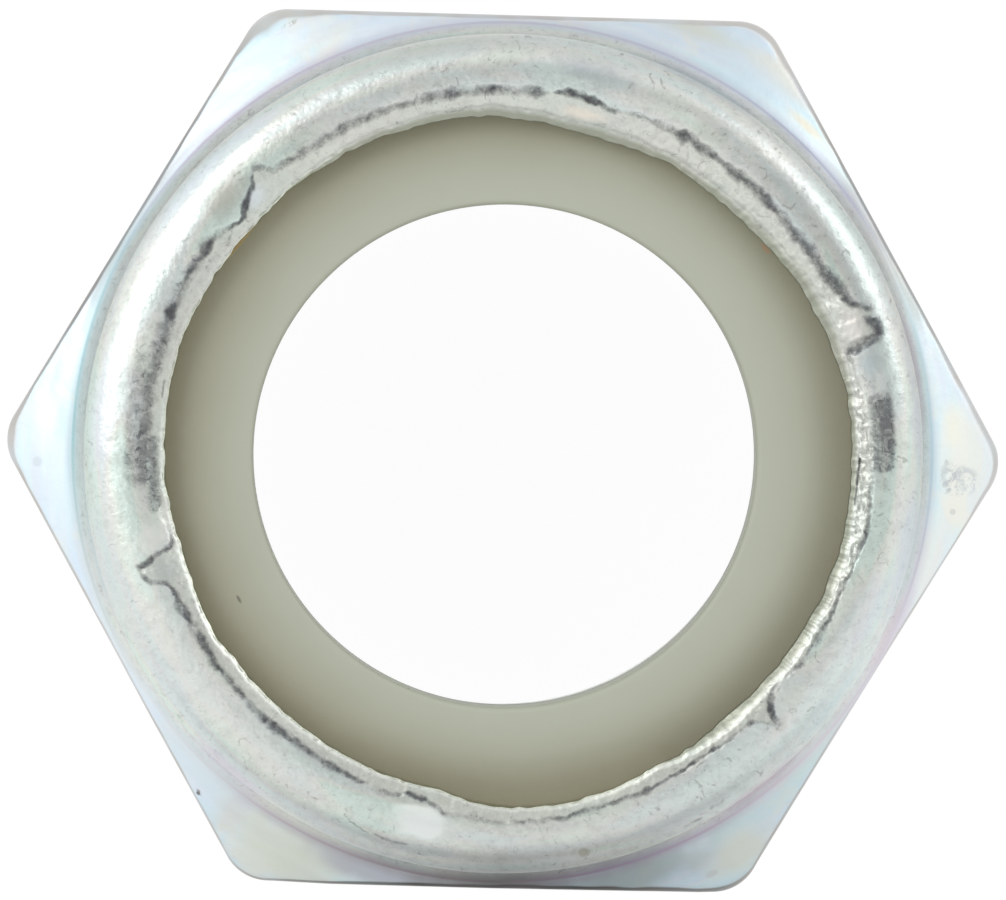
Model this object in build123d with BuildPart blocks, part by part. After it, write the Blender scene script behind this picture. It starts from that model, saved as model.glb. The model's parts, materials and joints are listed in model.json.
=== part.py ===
from build123d import *
from math import cos, radians, sin, tan
import os

# Nylon insert lock nut: a forged and tapped hexagon nut whose upper end is a thin
# collar, rolled in over a ring of nylon. Millimetres, +Z along the thread, with the
# origin at the centre of the bearing face. A corner of the hexagon points along +X.
#
# Pieces, one node each:
#   nut_body      steel hexagon, tapped bore, pocket and rolled collar in one piece
#   nylon_insert  ring that fills the pocket and is held in it by the collar's lip

# ---- Driving sizes ----

# hexagon
across_flats = 24.0
corner_radius = 1.3           # corners of the hexagon, seen from above
hex_height = 11.0             # bearing face to the foot of the collar
bearing_diameter = 22.8       # flat ring that meets the work
bearing_slope = 30.0          # fall of the corners below the flats, degrees
top_slope = 30.0              # fall of the corners above the flats, degrees

# thread, kept as the plain bore at its crests
bolt_diameter = 16.0
thread_depth = 0.9            # bolt surface to thread crest
mouth_clearance = 0.3         # how far each chamfered mouth opens past the bolt
mouth_slope = 30.0            # rise of both chamfered mouths, degrees

# collar and pocket
collar_step = 0.17            # flats to the foot of the collar
foot_fillet = 0.7
collar_wall = 1.2             # at its foot
wall_lean = 1.5               # inward lean of the collar's wall, degrees
collar_height = 5.0           # foot of the collar to its crest
dome_radius = 1.0             # round of the collar's outer edge, seen in section
pocket_sink = 0.4             # foot of the collar down to the pocket floor
lip_reach = 0.9               # pocket wall in to the edge of the lip
lip_droop = 0.4               # crest down to the top of the lip's edge
lip_thickness = 0.65          # at its edge
lip_undercut = 0.9            # edge of the lip down to where the pocket wall is straight
lip_break = 0.12              # chamfer on its upper edge

# pleats, where the rolled lip folds
pleat_count = 6
pleat_turn = 17.0             # on from each corner of the hexagon, degrees
pleat_width = 0.7             # at the edge of the lip
pleat_depth = 0.42            # at the edge of the lip
pleat_length = 0.98           # edge of the lip out to where the pleat reaches crest height

# nylon insert
insert_grip = 1.13            # bolt surface in to the insert's bore
insert_swell = 0.2            # rise of its top face where the lip has pinched it
insert_swell_width = 0.9      # edge of the lip in to where the top face is level
insert_lead_in = 0.15         # chamfered upper edge of its bore
insert_foot = 0.25            # chamfered lower edge of its bore

# ---- Worked out from the driving sizes ----

flat_radius = across_flats / 2
corner_reach = 1.2 * flat_radius      # clear of the hexagon's corners
bearing_radius = bearing_diameter / 2
foot_radius = flat_radius - collar_step
wall_radius = foot_radius - foot_fillet * (1 - sin(radians(top_slope)))
fillet_centre = Vector(
    wall_radius + foot_fillet,
    hex_height + foot_fillet * cos(radians(top_slope)),
)
pocket_radius = wall_radius - collar_wall
lip_radius = pocket_radius - lip_reach

bolt_radius = bolt_diameter / 2
bore_radius = bolt_radius - thread_depth
insert_radius = bolt_radius - insert_grip
mouth_radius = bolt_radius + mouth_clearance
mouth_height = (mouth_radius - bore_radius) * tan(radians(mouth_slope))

top = hex_height + collar_height
outward = Vector(1, 0).rotate(Axis.Z, wall_lean)      # square to the collar's wall
wall_foot = fillet_centre - foot_fillet * outward
wall_rise = top - dome_radius + dome_radius * outward.Y - wall_foot.Y
wall_top = wall_foot + Vector(-wall_rise * tan(radians(wall_lean)), wall_rise)
dome_centre = wall_top - dome_radius * outward
pocket_floor = hex_height - pocket_sink
lip_top = top - lip_droop
lip_under = lip_top - lip_thickness
insert_top = lip_under + insert_swell
bearing_rise = (corner_reach - bearing_radius) * tan(radians(bearing_slope))
corner_fall = (corner_reach - foot_radius) * tan(radians(top_slope))

# Half section of the pocket under the lip, which the insert fills
pocket_outline = [
    (lip_radius, lip_under),
    (pocket_radius, lip_under - lip_undercut),
    (pocket_radius, pocket_floor),
]

# ---- Pleat cutter ----

# A V groove in the lip. Its bottom starts pleat_depth below the edge of the lip and
# climbs outwards until it leaves the metal at the height of the crest.
pleat_run = Vector(pleat_length, 0, pleat_depth + lip_droop)
pleat_start = Vector(lip_radius, 0, lip_top - pleat_depth) - pleat_run
pleat_flare = 4               # the V is drawn this many times deeper than it cuts

with BuildPart() as pleat:
    with BuildSketch(Plane(pleat_start, x_dir=(0, 1, 0), z_dir=pleat_run)):
        half_width = pleat_flare * pleat_width / 2
        Polygon(
            (0, 0),
            (half_width, pleat_flare * pleat_depth),
            (-half_width, pleat_flare * pleat_depth),
            align=None,
        )
    extrude(amount=3 * pleat_run.length)

# ---- Nut body ----

with BuildPart() as nut_body:
    # hexagon with rounded corners, as tall as the nut
    with BuildSketch(Plane.XY):
        hexagon = RegularPolygon(flat_radius, 6, major_radius=False)
        fillet(hexagon.vertices(), corner_radius)
    extrude(amount=top)

    # turned outline: bearing face, both sets of corners, collar, dome and lip
    with BuildSketch(Plane.XZ):
        with BuildLine():
            Polyline(
                (foot_radius, hex_height),
                (corner_reach, hex_height - corner_fall),
                (corner_reach, bearing_rise),
                (bearing_radius, 0),
                (0, 0),
                (0, lip_top),
                (lip_radius, lip_top),
                (dome_centre.X, top),
            )
            CenterArc(dome_centre, dome_radius, wall_lean, 90 - wall_lean)
            Line(wall_top, wall_foot)
            CenterArc(fillet_centre, foot_fillet, 180 + wall_lean, 90 - top_slope - wall_lean)
        make_face()
    revolve(axis=Axis.Z, mode=Mode.INTERSECT)

    # bore with a chamfered mouth at each end, and the pocket under the lip
    with BuildSketch(Plane.XZ):
        with BuildLine():
            Polyline(
                *pocket_outline,
                (mouth_radius, pocket_floor),
                (bore_radius, pocket_floor - mouth_height),
                (bore_radius, mouth_height),
                (mouth_radius, 0),
                (0, 0),
                (0, top),
                (lip_radius, top),
                close=True,
            )
        make_face()
    revolve(axis=Axis.Z, mode=Mode.SUBTRACT)

    rings = nut_body.edges().filter_by(GeomType.CIRCLE)
    lip_edge = rings.filter_by_position(Axis.Z, lip_top, lip_top)
    chamfer(lip_edge, lip_break)

    with PolarLocations(0, pleat_count, start_angle=pleat_turn):
        add(pleat.part, mode=Mode.SUBTRACT)

nut_body.part.label = "nut_body"

# ---- Nylon insert ----

with BuildPart() as nylon_insert:
    with BuildSketch(Plane.XZ):
        with BuildLine():
            Polyline(
                *pocket_outline,
                (insert_radius + insert_foot, pocket_floor),
                (insert_radius, pocket_floor + insert_foot),
                (insert_radius, insert_top - insert_lead_in),
                (insert_radius + insert_lead_in, insert_top),
                (lip_radius - insert_swell_width, insert_top),
                close=True,
            )
        make_face()
    revolve(axis=Axis.Z)

nylon_insert.part.label = "nylon_insert"

# ---- Files ----

os.makedirs("parts", exist_ok=True)
export_step(nut_body.part, "parts/nut_body.step")
export_step(nylon_insert.part, "parts/nylon_insert.step")
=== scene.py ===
"""Visual model of a nylon insert lock nut, built around its solids from model.glb.

Two pieces replace the two solids: the plated steel body with its thread and rolled
collar, and the nylon ring that the collar traps. Sizes are in metres in the panel and
in millimetres in the code that draws the profiles.
"""

import json
import math
from collections import namedtuple

import bpy
import numpy as np
from mathutils import Matrix, Vector


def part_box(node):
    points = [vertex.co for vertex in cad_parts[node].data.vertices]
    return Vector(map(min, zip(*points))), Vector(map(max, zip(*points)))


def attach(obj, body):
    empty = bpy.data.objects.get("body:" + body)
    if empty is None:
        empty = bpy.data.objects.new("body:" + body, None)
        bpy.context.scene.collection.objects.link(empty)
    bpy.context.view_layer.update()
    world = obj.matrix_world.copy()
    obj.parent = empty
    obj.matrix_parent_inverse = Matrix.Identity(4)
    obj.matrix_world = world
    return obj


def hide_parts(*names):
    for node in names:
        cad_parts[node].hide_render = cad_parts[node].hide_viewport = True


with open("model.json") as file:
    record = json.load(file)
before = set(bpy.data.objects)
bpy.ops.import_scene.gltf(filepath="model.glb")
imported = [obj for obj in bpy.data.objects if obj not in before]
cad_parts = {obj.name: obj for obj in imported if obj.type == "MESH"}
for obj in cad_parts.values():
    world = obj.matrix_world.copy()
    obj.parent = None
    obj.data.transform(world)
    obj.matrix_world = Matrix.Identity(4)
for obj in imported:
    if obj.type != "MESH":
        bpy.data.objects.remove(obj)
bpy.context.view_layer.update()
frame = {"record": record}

bl_info = {
    "name": "Nylon insert lock nut",
    "version": (1, 0, 0),
    "blender": (4, 5, 0),
    "location": "3D View > Sidebar > Lock nut",
    "description": "Builds the plated body, the nylon ring and a plain white stage",
    "category": "Object",
}

MM = 0.001
TURN = 2 * math.pi

# ---- Sizes that come with the solids ----

body_low, body_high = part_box("nut_body")
ring_low, ring_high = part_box("nylon_insert")
mounts = {mount["name"]: mount for mount in frame["record"]["mounts"]}


# ---- Sizes and finishes that a user may change ----


class LockNutBodySizes(bpy.types.PropertyGroup):
    """Sizes of the plated steel body"""

    across_flats: bpy.props.FloatProperty(
        name="Across flats", default=body_high.y - body_low.y, unit="LENGTH",
        description="Width of the hexagon between opposite flats",
    )
    across_corners: bpy.props.FloatProperty(
        name="Across corners", default=body_high.x - body_low.x, unit="LENGTH",
        description="Width of the hexagon over its rounded corners",
    )
    height: bpy.props.FloatProperty(
        name="Height", default=body_high.z - body_low.z, unit="LENGTH",
        description="Bearing face to the crest of the collar",
    )
    hex_height: bpy.props.FloatProperty(
        name="Hexagon height", default=0.011, unit="LENGTH",
        description="Bearing face to the foot of the collar",
    )
    bearing_radius: bpy.props.FloatProperty(
        name="Bearing radius", default=0.0114, unit="LENGTH",
        description="Outside of the flat ring that meets the work",
    )
    foot_radius: bpy.props.FloatProperty(
        name="Collar foot radius", default=0.01183, unit="LENGTH",
        description="Where the collar's fillet meets the top of the hexagon",
    )
    wall_radius: bpy.props.FloatProperty(
        name="Collar wall radius", default=0.01148, unit="LENGTH",
        description="Outside of the collar's wall",
    )
    pocket_radius: bpy.props.FloatProperty(
        name="Pocket radius", default=ring_high.x, unit="LENGTH",
        description="Inside of the collar, where the nylon ring sits",
    )
    crest_radius: bpy.props.FloatProperty(
        name="Thread crest radius", default=mounts["thread"]["dims"]["r_mm"] * MM,
        unit="LENGTH", description="Bore at the crests of the thread",
    )
    thread_pitch: bpy.props.FloatProperty(
        name="Thread pitch", default=0.002, unit="LENGTH",
        description="Rise of the thread in one turn",
    )
    thread_depth: bpy.props.FloatProperty(
        name="Thread depth", default=0.00093, unit="LENGTH",
        description="Crest of the thread to its root",
    )


class LockNutRingSizes(bpy.types.PropertyGroup):
    """Sizes of the nylon ring"""

    bore_radius: bpy.props.FloatProperty(
        name="Bore radius", default=mounts["insert_bore"]["dims"]["r_mm"] * MM,
        unit="LENGTH", description="Bore of the nylon ring",
    )
    top: bpy.props.FloatProperty(
        name="Top", default=ring_high.z, unit="LENGTH",
        description="Height of the ring's top face",
    )
    floor: bpy.props.FloatProperty(
        name="Foot", default=ring_low.z, unit="LENGTH",
        description="Height of the pocket floor that the ring stands on",
    )
    droop: bpy.props.FloatProperty(
        name="Pinch", default=0.0002, unit="LENGTH",
        description="Fall of the top face towards the lip that pinches it",
    )


class LockNutFinish(bpy.types.PropertyGroup):
    """Colours and gloss of both pieces"""

    dome_colour: bpy.props.FloatVectorProperty(
        name="Collar zinc", default=(0.765, 0.813, 0.770), subtype="COLOR", min=0,
        max=1, description="Colour of the plating on the rolled collar",
    )
    hexagon_colour: bpy.props.FloatVectorProperty(
        name="Hexagon zinc", default=(0.74, 0.85, 0.92), subtype="COLOR", min=0, max=1,
        description="Colour of the plating on the hexagon",
    )
    edge_colour: bpy.props.FloatVectorProperty(
        name="Rolled edge zinc", default=(0.742, 0.768, 0.708), subtype="COLOR", min=0,
        max=1, description="Colour of the plating on the turned-in end of the collar",
    )
    # painted shade: this dark colour stands in for the shade in the lap's crease, and
    # also darkens the grain of the bare patches
    lap_shade_and_grain_colour: bpy.props.FloatVectorProperty(
        name="Lap shade and grain", default=(0.088, 0.090, 0.100), subtype="COLOR", min=0, max=1,
        description="Colour of the dark lap where the rolled edge folds on itself",
    )
    nylon_colour: bpy.props.FloatVectorProperty(
        name="Nylon", default=(0.450, 0.472, 0.382), subtype="COLOR", min=0, max=1,
        description="Colour of the nylon near its bore",
    )
    # painted shade: the brown that the nylon takes on under the lip stands in for its
    # shadow
    nylon_lip_shade: bpy.props.FloatVectorProperty(
        name="Nylon under the lip", default=(0.295, 0.27, 0.185), subtype="COLOR",
        min=0, max=1, description="Colour of the nylon where the lip has pinched it",
    )
    roughness: bpy.props.FloatProperty(
        name="Zinc roughness", default=0.30, subtype="FACTOR", min=0, max=1,
        description="Roughness of the plating where it is smoothest",
    )


class LockNutStage(bpy.types.PropertyGroup):
    """Floor, light and camera"""

    lens: bpy.props.FloatProperty(
        name="Lens", default=1200,
        description="Focal length of the camera, in millimetres",
    )
    tilt: bpy.props.FloatProperty(
        name="Tilt", default=math.radians(0.76), subtype="ANGLE", unit="ROTATION",
        description="Angle between the camera's line of sight and the thread",
    )
    tilt_side: bpy.props.FloatProperty(
        name="Tilt side", default=math.radians(117), subtype="ANGLE", unit="ROTATION",
        description="Side that the camera leans to, from the right of the picture",
    )
    roll: bpy.props.FloatProperty(
        name="Turn of the nut", default=math.radians(1.55), subtype="ANGLE",
        unit="ROTATION", description="Clockwise turn of the nut in the picture",
    )
    light: bpy.props.FloatProperty(
        name="Plain light", default=0.84, min=0,
        description="Level of the even light from all sides",
    )
    key_power: bpy.props.FloatProperty(
        name="Key lamp", default=0.68, unit="POWER", min=0,
        description="Power of the soft lamp on the upper left",
    )
    fill_power: bpy.props.FloatProperty(
        name="Side lamp", default=0.45, unit="POWER", min=0,
        description="Power of the soft lamp on the right",
    )


GROUPS = {
    "lock_nut_body": LockNutBodySizes,
    "lock_nut_ring": LockNutRingSizes,
    "lock_nut_finish": LockNutFinish,
    "lock_nut_stage": LockNutStage,
}


# ---- Mesh made of rings round the thread's axis ----


def place_object(name, data):
    """A new object in the scene."""
    made = bpy.data.objects.new(name, data)
    bpy.context.scene.collection.objects.link(made)
    return made


class RingShell:
    """A closed skin made of rings of points, each round the Z axis, in millimetres."""

    def __init__(self, *marks):
        self.points = []
        self.faces = []
        self.marks = {name: [] for name in marks}
        self.paint = []
        self.total = 0

    def ring(self, angle, radius, height, paint=(1, 1, 1, 0), **marks):
        """Adds one ring and returns the numbers of its points."""
        angle = np.asarray(angle, float)
        radius = np.broadcast_to(radius, angle.shape)
        height = np.broadcast_to(height, angle.shape)
        self.points.append(
            np.stack([radius * np.cos(angle), radius * np.sin(angle), height], 1)
        )
        for name, values in self.marks.items():
            level = marks.get(name, 1.0 if name == "plate" else 0.0)
            values.append(np.broadcast_to(level, angle.shape))
        self.paint.append(np.broadcast_to(paint, (len(angle), 4)))
        numbers = np.arange(self.total, self.total + len(angle))
        self.total += len(angle)
        return numbers

    def join(self, low, high):
        """Skins two neighbouring rings. One may have twice the points of the other."""
        count = min(len(low), len(high))
        if {len(low), len(high)} - {count, 2 * count}:
            raise ValueError("rings that meet have equal, double or half the points")
        corners = []
        for ring in (low, high):
            starts = ring[:: len(ring) // count]
            between = [ring[1::2]] if len(ring) > count else []
            corners.append([starts, *between, np.roll(starts, -1)])
        self.faces += np.stack(corners[0] + corners[1][::-1], 1).tolist()

    def chain(self, rings):
        """Skins a run of rings one after another."""
        for low, high in zip(rings, rings[1:]):
            self.join(low, high)

    def build(self, name, material):
        """Makes the object, in metres, smooth shaded."""
        mesh = bpy.data.meshes.new(name)
        points = np.concatenate(self.points) * MM
        mesh.from_pydata(points.tolist(), [], self.faces)
        mesh.validate()
        for mark, values in self.marks.items():
            layer = mesh.attributes.new(mark, "FLOAT", "POINT")
            layer.data.foreach_set("value", np.concatenate(values).astype(np.float32))
        layer = mesh.attributes.new("paint", "FLOAT_COLOR", "POINT")
        colours = np.concatenate(self.paint).astype(np.float32)
        layer.data.foreach_set("color", colours.ravel())
        mesh.polygons.foreach_set("use_smooth", [True] * len(mesh.polygons))
        mesh.materials.append(material)
        mesh.update()
        return place_object(name, mesh)


def round_angles(count, crowding=0.0):
    """Evenly spaced angles, or crowded towards the corners of the hexagon."""
    even = np.arange(count) * TURN / count
    return even - crowding * np.sin(6 * even) / 6


def smooth_step(value, low, high):
    """0 below low, 1 above high, and an easy curve between them."""
    share = np.clip((value - low) / (high - low), 0, 1)
    return share * share * (3 - 2 * share)


def span(value, start, full, last, end):
    """1 between full and last, easing to 0 at start and at end."""
    return smooth_step(value, start, full) * (1 - smooth_step(value, last, end))


def blend(first, second, share):
    """A value between two others."""
    return first + (second - first) * share


def along(angle, table, column=1):
    """Reads a column of a table of (degrees, value, ...) rows that closes on itself."""
    rows = np.array(table, float)
    degrees = np.degrees(angle) % 360
    return np.interp(degrees, rows[:, 0], rows[:, column], period=360)


def ripple(angle, across, around, cell, seed):
    """Smooth random bumps from -1 to 1: around cells in a turn, cell mm wide."""
    draws = np.random.default_rng(seed)
    u = (np.asarray(angle) / TURN % 1) * around
    v = np.asarray(across) / cell
    rows = 64
    table = draws.uniform(-1, 1, (rows, around))
    column, row = np.floor(u).astype(int), np.floor(v).astype(int)
    fu, fv = u - column, v - row
    fu, fv = fu * fu * (3 - 2 * fu), fv * fv * (3 - 2 * fv)
    c0, c1 = column % around, (column + 1) % around
    r0, r1 = row % rows, (row + 1) % rows
    near = table[r0, c0] * (1 - fu) + table[r0, c1] * fu
    far = table[r1, c0] * (1 - fu) + table[r1, c1] * fu
    return near * (1 - fv) + far * fv


def ripples(angle, across, *layers):
    """Ripples added up. Layers: their height, and then as ripple takes them."""
    return sum(height * ripple(angle, across, *rest) for height, *rest in layers)


def wobble(angle, around, seed):
    """Smooth random levels from -1 to 1 round the nut, around cells in a turn."""
    return ripple(angle, 0 * angle, around, 1.0, seed)


# ---- The rolled edge: where it laps, how far it reaches and what marks it ----

# The lap is the line where the outer skin of the collar folds over its cut end; its
# dark line is painted shade in the crease. Rows: degrees from the right, radius, half
# width of the dark line, darkness.
LAP = [
    (0, 10.08, 0.05, 0.15), (8, 9.98, 0.05, 0.20), (14, 9.87, 0.05, 0.30),
    (15.8, 9.84, 0.10, 1.0), (16.3, 10.15, 0.15, 1.0), (16.8, 10.55, 0.13, 1.0),
    (17.5, 10.78, 0.12, 1.0), (18.6, 10.76, 0.14, 0.95), (20.0, 10.68, 0.11, 0.90),
    (20.6, 10.74, 0.03, 0.20), (21.3, 10.74, 0.07, 0.75), (22.3, 10.52, 0.09, 0.85),
    (23.3, 10.33, 0.10, 0.85), (26, 10.22, 0.13, 0.85), (30, 10.07, 0.14, 0.90),
    (35, 9.99, 0.13, 0.85), (40, 10.00, 0.13, 0.85), (46, 9.97, 0.125, 0.85),
    (51.5, 9.93, 0.135, 1.0), (54, 9.93, 0.10, 0.80), (60, 9.98, 0.125, 1.0),
    (62, 9.95, 0.09, 0.70), (68, 9.93, 0.07, 0.60), (70.5, 9.88, 0.05, 0.25),
    (72, 9.80, 0.06, 0.90), (73.5, 9.83, 0.05, 0.60), (75.5, 9.92, 0.09, 0.95),
    (79.5, 10.02, 0.10, 1.0), (81, 9.95, 0.07, 0.90), (82.4, 9.92, 0.05, 0.25),
    (84.5, 9.87, 0.10, 0.95), (86.5, 9.89, 0.11, 0.62), (90.5, 9.91, 0.11, 0.68),
    (91.5, 9.91, 0.10, 1.0), (93, 9.92, 0.11, 0.62), (97, 9.90, 0.11, 0.75),
    (99, 9.90, 0.11, 1.0), (101, 9.89, 0.11, 0.65), (106, 9.87, 0.11, 0.75),
    (108, 9.87, 0.11, 0.60), (113, 9.88, 0.11, 0.75), (116, 9.88, 0.11, 0.85),
    (118.5, 9.86, 0.10, 0.72), (120, 9.85, 0.10, 0.60), (124.5, 9.84, 0.10, 0.72),
    (129.2, 9.92, 0.07, 0.60), (130.5, 10.18, 0.07, 0.85), (131.3, 10.32, 0.07, 0.85),
    (132, 10.22, 0.05, 0.90), (133, 10.02, 0.05, 0.90), (134.5, 9.86, 0.05, 0.85),
    (136.2, 9.75, 0.07, 1.0), (137.5, 9.58, 0.05, 0.90), (138.6, 9.52, 0.06, 0.95),
    (140, 9.60, 0.05, 0.80), (141.5, 9.75, 0.06, 0.50), (144.5, 9.83, 0.12, 0.90),
    (148, 9.86, 0.10, 0.80), (151.5, 9.88, 0.07, 0.90), (154, 9.82, 0.10, 0.50),
    (157, 9.84, 0.10, 1.0), (159, 9.82, 0.10, 0.60), (168.5, 9.86, 0.12, 0.80),
    (172, 9.86, 0.10, 0.50), (180, 9.70, 0.10, 0.20), (190, 9.50, 0.06, 0.30),
    (194, 9.33, 0.05, 0.70), (195.6, 9.42, 0.08, 0.95), (196.3, 9.72, 0.07, 0.90),
    (197, 10.05, 0.08, 0.95), (197.7, 10.36, 0.07, 1.0), (198.4, 10.42, 0.04, 0.25),
    (199.3, 10.37, 0.05, 0.85), (200.4, 10.18, 0.05, 0.55), (201.4, 9.88, 0.06, 0.85),
    (202.5, 9.76, 0.09, 1.0), (206, 9.74, 0.09, 0.95), (210, 9.71, 0.09, 0.90),
    (213, 9.70, 0.09, 0.95), (217, 9.75, 0.08, 1.0), (219, 9.73, 0.08, 0.85),
    (223, 9.72, 0.08, 0.95), (228, 9.76, 0.08, 0.95), (231, 9.75, 0.09, 1.0),
    (236, 9.75, 0.07, 0.80), (240, 9.77, 0.07, 0.80), (247, 9.81, 0.07, 0.90),
    (248.5, 9.82, 0.05, 0.20), (250, 9.84, 0.07, 0.70), (253.2, 9.80, 0.07, 0.80),
    (254, 9.72, 0.03, 0.30), (254.6, 9.69, 0.06, 0.95), (257.6, 9.75, 0.06, 0.90),
    (259.5, 9.84, 0.05, 0.60), (260.7, 10.00, 0.06, 0.90), (262, 10.00, 0.06, 0.50),
    (267, 10.05, 0.08, 0.75), (270, 10.12, 0.05, 0.55), (276, 10.13, 0.05, 0.85),
    (280, 10.11, 0.06, 0.95), (282, 10.07, 0.08, 0.95), (284, 10.06, 0.06, 0.80),
    (291, 10.05, 0.05, 0.75), (293.5, 10.05, 0.07, 1.0), (296, 10.03, 0.05, 0.85),
    (310, 10.03, 0.05, 0.90), (312.5, 10.02, 0.07, 0.90), (313.6, 10.16, 0.04, 0.45),
    (314.4, 10.36, 0.04, 0.45), (315.2, 10.50, 0.17, 0.75), (315.6, 10.32, 0.10, 1.0),
    (316.3, 10.12, 0.10, 1.0), (317.3, 9.95, 0.09, 1.0), (318.2, 9.85, 0.05, 0.80),
    (321, 9.88, 0.05, 0.15), (325, 10.01, 0.08, 0.90), (331, 10.01, 0.09, 1.0),
    (333, 10.01, 0.05, 0.75), (342, 10.06, 0.05, 0.70), (346.5, 10.17, 0.06, 0.85),
    (349, 10.17, 0.05, 0.65), (355, 10.12, 0.06, 0.60),
]

# How far in the rolled edge reaches. Rows: degrees, radius, width of the inner wall
# that shows below the edge.
LIP = [
    (0, 9.71, 0.17), (10, 9.73, 0.18), (17, 9.71, 0.27), (20, 9.70, 0.30),
    (25, 9.64, 0.32), (30, 9.59, 0.31), (35, 9.46, 0.25), (40, 9.40, 0.26),
    (50, 9.31, 0.25), (60, 9.28, 0.18), (70, 9.28, 0.30), (75, 9.23, 0.28),
    (80, 9.23, 0.23), (85, 9.34, 0.26), (90, 9.43, 0.28), (95, 9.44, 0.25),
    (100, 9.44, 0.23), (105, 9.41, 0.22), (110, 9.38, 0.19), (115, 9.37, 0.16),
    (120, 9.35, 0.13), (130, 9.27, 0.05), (137, 9.20, 0.03), (142, 9.23, 0.03),
    (150, 9.26, 0.03), (160, 9.31, 0.03), (180, 9.28, 0.04), (185, 9.27, 0.04),
    (193, 9.23, 0.04), (196, 9.16, 0.04), (200, 9.19, 0.04), (205, 9.27, 0.04),
    (210, 9.32, 0.04), (213, 9.35, 0.04), (217, 9.28, 0.04), (230, 9.31, 0.04),
    (244, 9.37, 0.03), (252, 9.40, 0.03), (259, 9.40, 0.03), (261, 9.48, 0.03),
    (264, 9.59, 0.03), (268, 9.67, 0.03), (272, 9.75, 0.03), (280, 9.78, 0.04),
    (288, 9.73, 0.05), (292, 9.67, 0.05), (296, 9.61, 0.05), (300, 9.66, 0.09),
    (305, 9.72, 0.20), (310, 9.77, 0.30), (315, 9.69, 0.23), (320, 9.69, 0.21),
    (325, 9.79, 0.27), (330, 9.80, 0.25), (340, 9.83, 0.25), (350, 9.77, 0.20),
]

# The tables' zero direction lies this far from the first corner, and their centre
# lies this far from the thread's axis, in millimetres.
TABLE_TURN = math.radians(1.55)
TABLE_CENTRE = (-0.025, 0.052)

# How crinkled the cut end is. Rows: degrees, level.
CRINKLE = [
    (0, 1.0), (8, 0.85), (13, 0.40), (18, 0.20), (28, 0.32), (55, 0.30), (70, 0.15),
    (120, 0.15), (160, 0.25), (200, 0.12), (255, 0.12), (300, 0.15), (320, 0.30),
    (340, 0.85),
]

# Where the crest of the collar runs. Rows: degrees, radius.
CREST = [
    (0, 10.47), (30, 10.44), (50, 10.45), (65, 10.50), (90, 10.42), (110, 10.34),
    (125, 10.24), (150, 10.08), (180, 10.12), (197, 10.00), (215, 9.90), (290, 9.94),
    (320, 10.10), (345, 10.36),
]

# How steeply the cut end falls from the lap to its edge. Rows: degrees, slope.
FALL = [
    (0, 0.30), (235, 0.30), (250, 0.18), (262, 0.09), (320, 0.07), (335, 0.13),
    (347, 0.30),
]

# How wide the rounded upper edge of the hexagon looks from above. Rows: degrees, width
# and the level of painted shade on it, darkest towards 270 degrees.
RIM = [
    (0, 0.20, 0.86), (8, 0.19, 0.88), (16, 0.12, 0.66), (24, 0.13, 0.52),
    (36, 0.13, 0.50), (45, 0.12, 0.66), (54, 0.24, 0.90), (60, 0.24, 0.90),
    (68, 0.15, 0.86), (90, 0.13, 0.80), (112, 0.16, 0.86), (119, 0.44, 0.92),
    (124, 0.12, 0.76), (135, 0.10, 0.55), (150, 0.09, 0.48), (163, 0.10, 0.55),
    (172, 0.10, 0.74), (178, 0.30, 0.96), (184, 0.09, 0.90), (210, 0.07, 0.96),
    (236, 0.07, 0.90), (244, 0.10, 0.46), (258, 0.12, 0.15), (270, 0.13, 0.07),
    (282, 0.14, 0.13), (292, 0.15, 0.28), (297, 0.15, 0.42), (301, 0.09, 0.70),
    (330, 0.07, 0.94), (352, 0.08, 0.94), (357, 0.18, 0.92),
]

# How far the sides of the hexagon lie inside their nominal place. Rows: degrees,
# depth.
SIDES = [
    (0, 0.0), (120, 0.0), (127, 0.008), (150, 0.020), (168, 0.032), (183, 0.048),
    (198, 0.046), (215, 0.036), (235, 0.058), (242, 0.040), (248, 0.0), (270, 0.008),
    (294, 0.040), (302, 0.135), (315, 0.140), (330, 0.120), (345, 0.092), (355, 0.056),
]

# Level of the plating, with painted light and shade standing in for its brighter and
# dimmer reflections, darkest towards 270 degrees. Rows: degrees, level on the crest, on
# the outer round, in the fillet at the foot of the collar, on the cut end and on the
# hexagon's rim.
PLATE_LIGHT_AND_SHADE = [
    (0, 0.95, 0.86, 0.78, 0.86, 1.0), (15, 0.87, 0.84, 0.75, 0.86, 0.84),
    (30, 0.89, 0.87, 0.72, 0.90, 0.70), (45, 0.92, 0.84, 0.73, 0.92, 0.80),
    (60, 0.96, 0.78, 0.78, 0.96, 0.84), (90, 0.95, 0.79, 0.78, 0.96, 0.86),
    (120, 0.90, 0.87, 0.77, 0.96, 0.96), (135, 0.98, 0.96, 0.74, 0.92, 0.86),
    (150, 1.04, 1.04, 0.72, 0.86, 0.78), (165, 1.00, 1.01, 0.78, 0.84, 0.90),
    (180, 0.97, 0.97, 0.85, 0.84, 1.02), (195, 1.00, 0.98, 0.96, 0.96, 1.04),
    (210, 0.99, 1.01, 1.00, 0.86, 1.08), (225, 0.99, 0.98, 1.00, 0.88, 1.15),
    (240, 0.94, 0.91, 0.88, 0.90, 1.06), (256, 0.90, 0.74, 0.58, 0.90, 0.90),
    (270, 0.86, 0.57, 0.37, 0.90, 0.44), (284, 0.89, 0.70, 0.48, 0.88, 0.68),
    (300, 0.91, 0.85, 0.77, 0.84, 0.94), (330, 0.98, 1.03, 1.03, 0.84, 1.04),
]

# Places where the plating and its painted light are turned down or up. Rows: start and
# end in degrees, inner and outer radius, level.
PLACES = [
    (131.5, 141.5, 9.90, 10.75, 0.86), (142, 170, 10.15, 10.45, 0.96),
    (21, 60, 10.15, 10.75, 0.93), (17, 26, 9.75, 10.60, 1.10),
]
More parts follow.
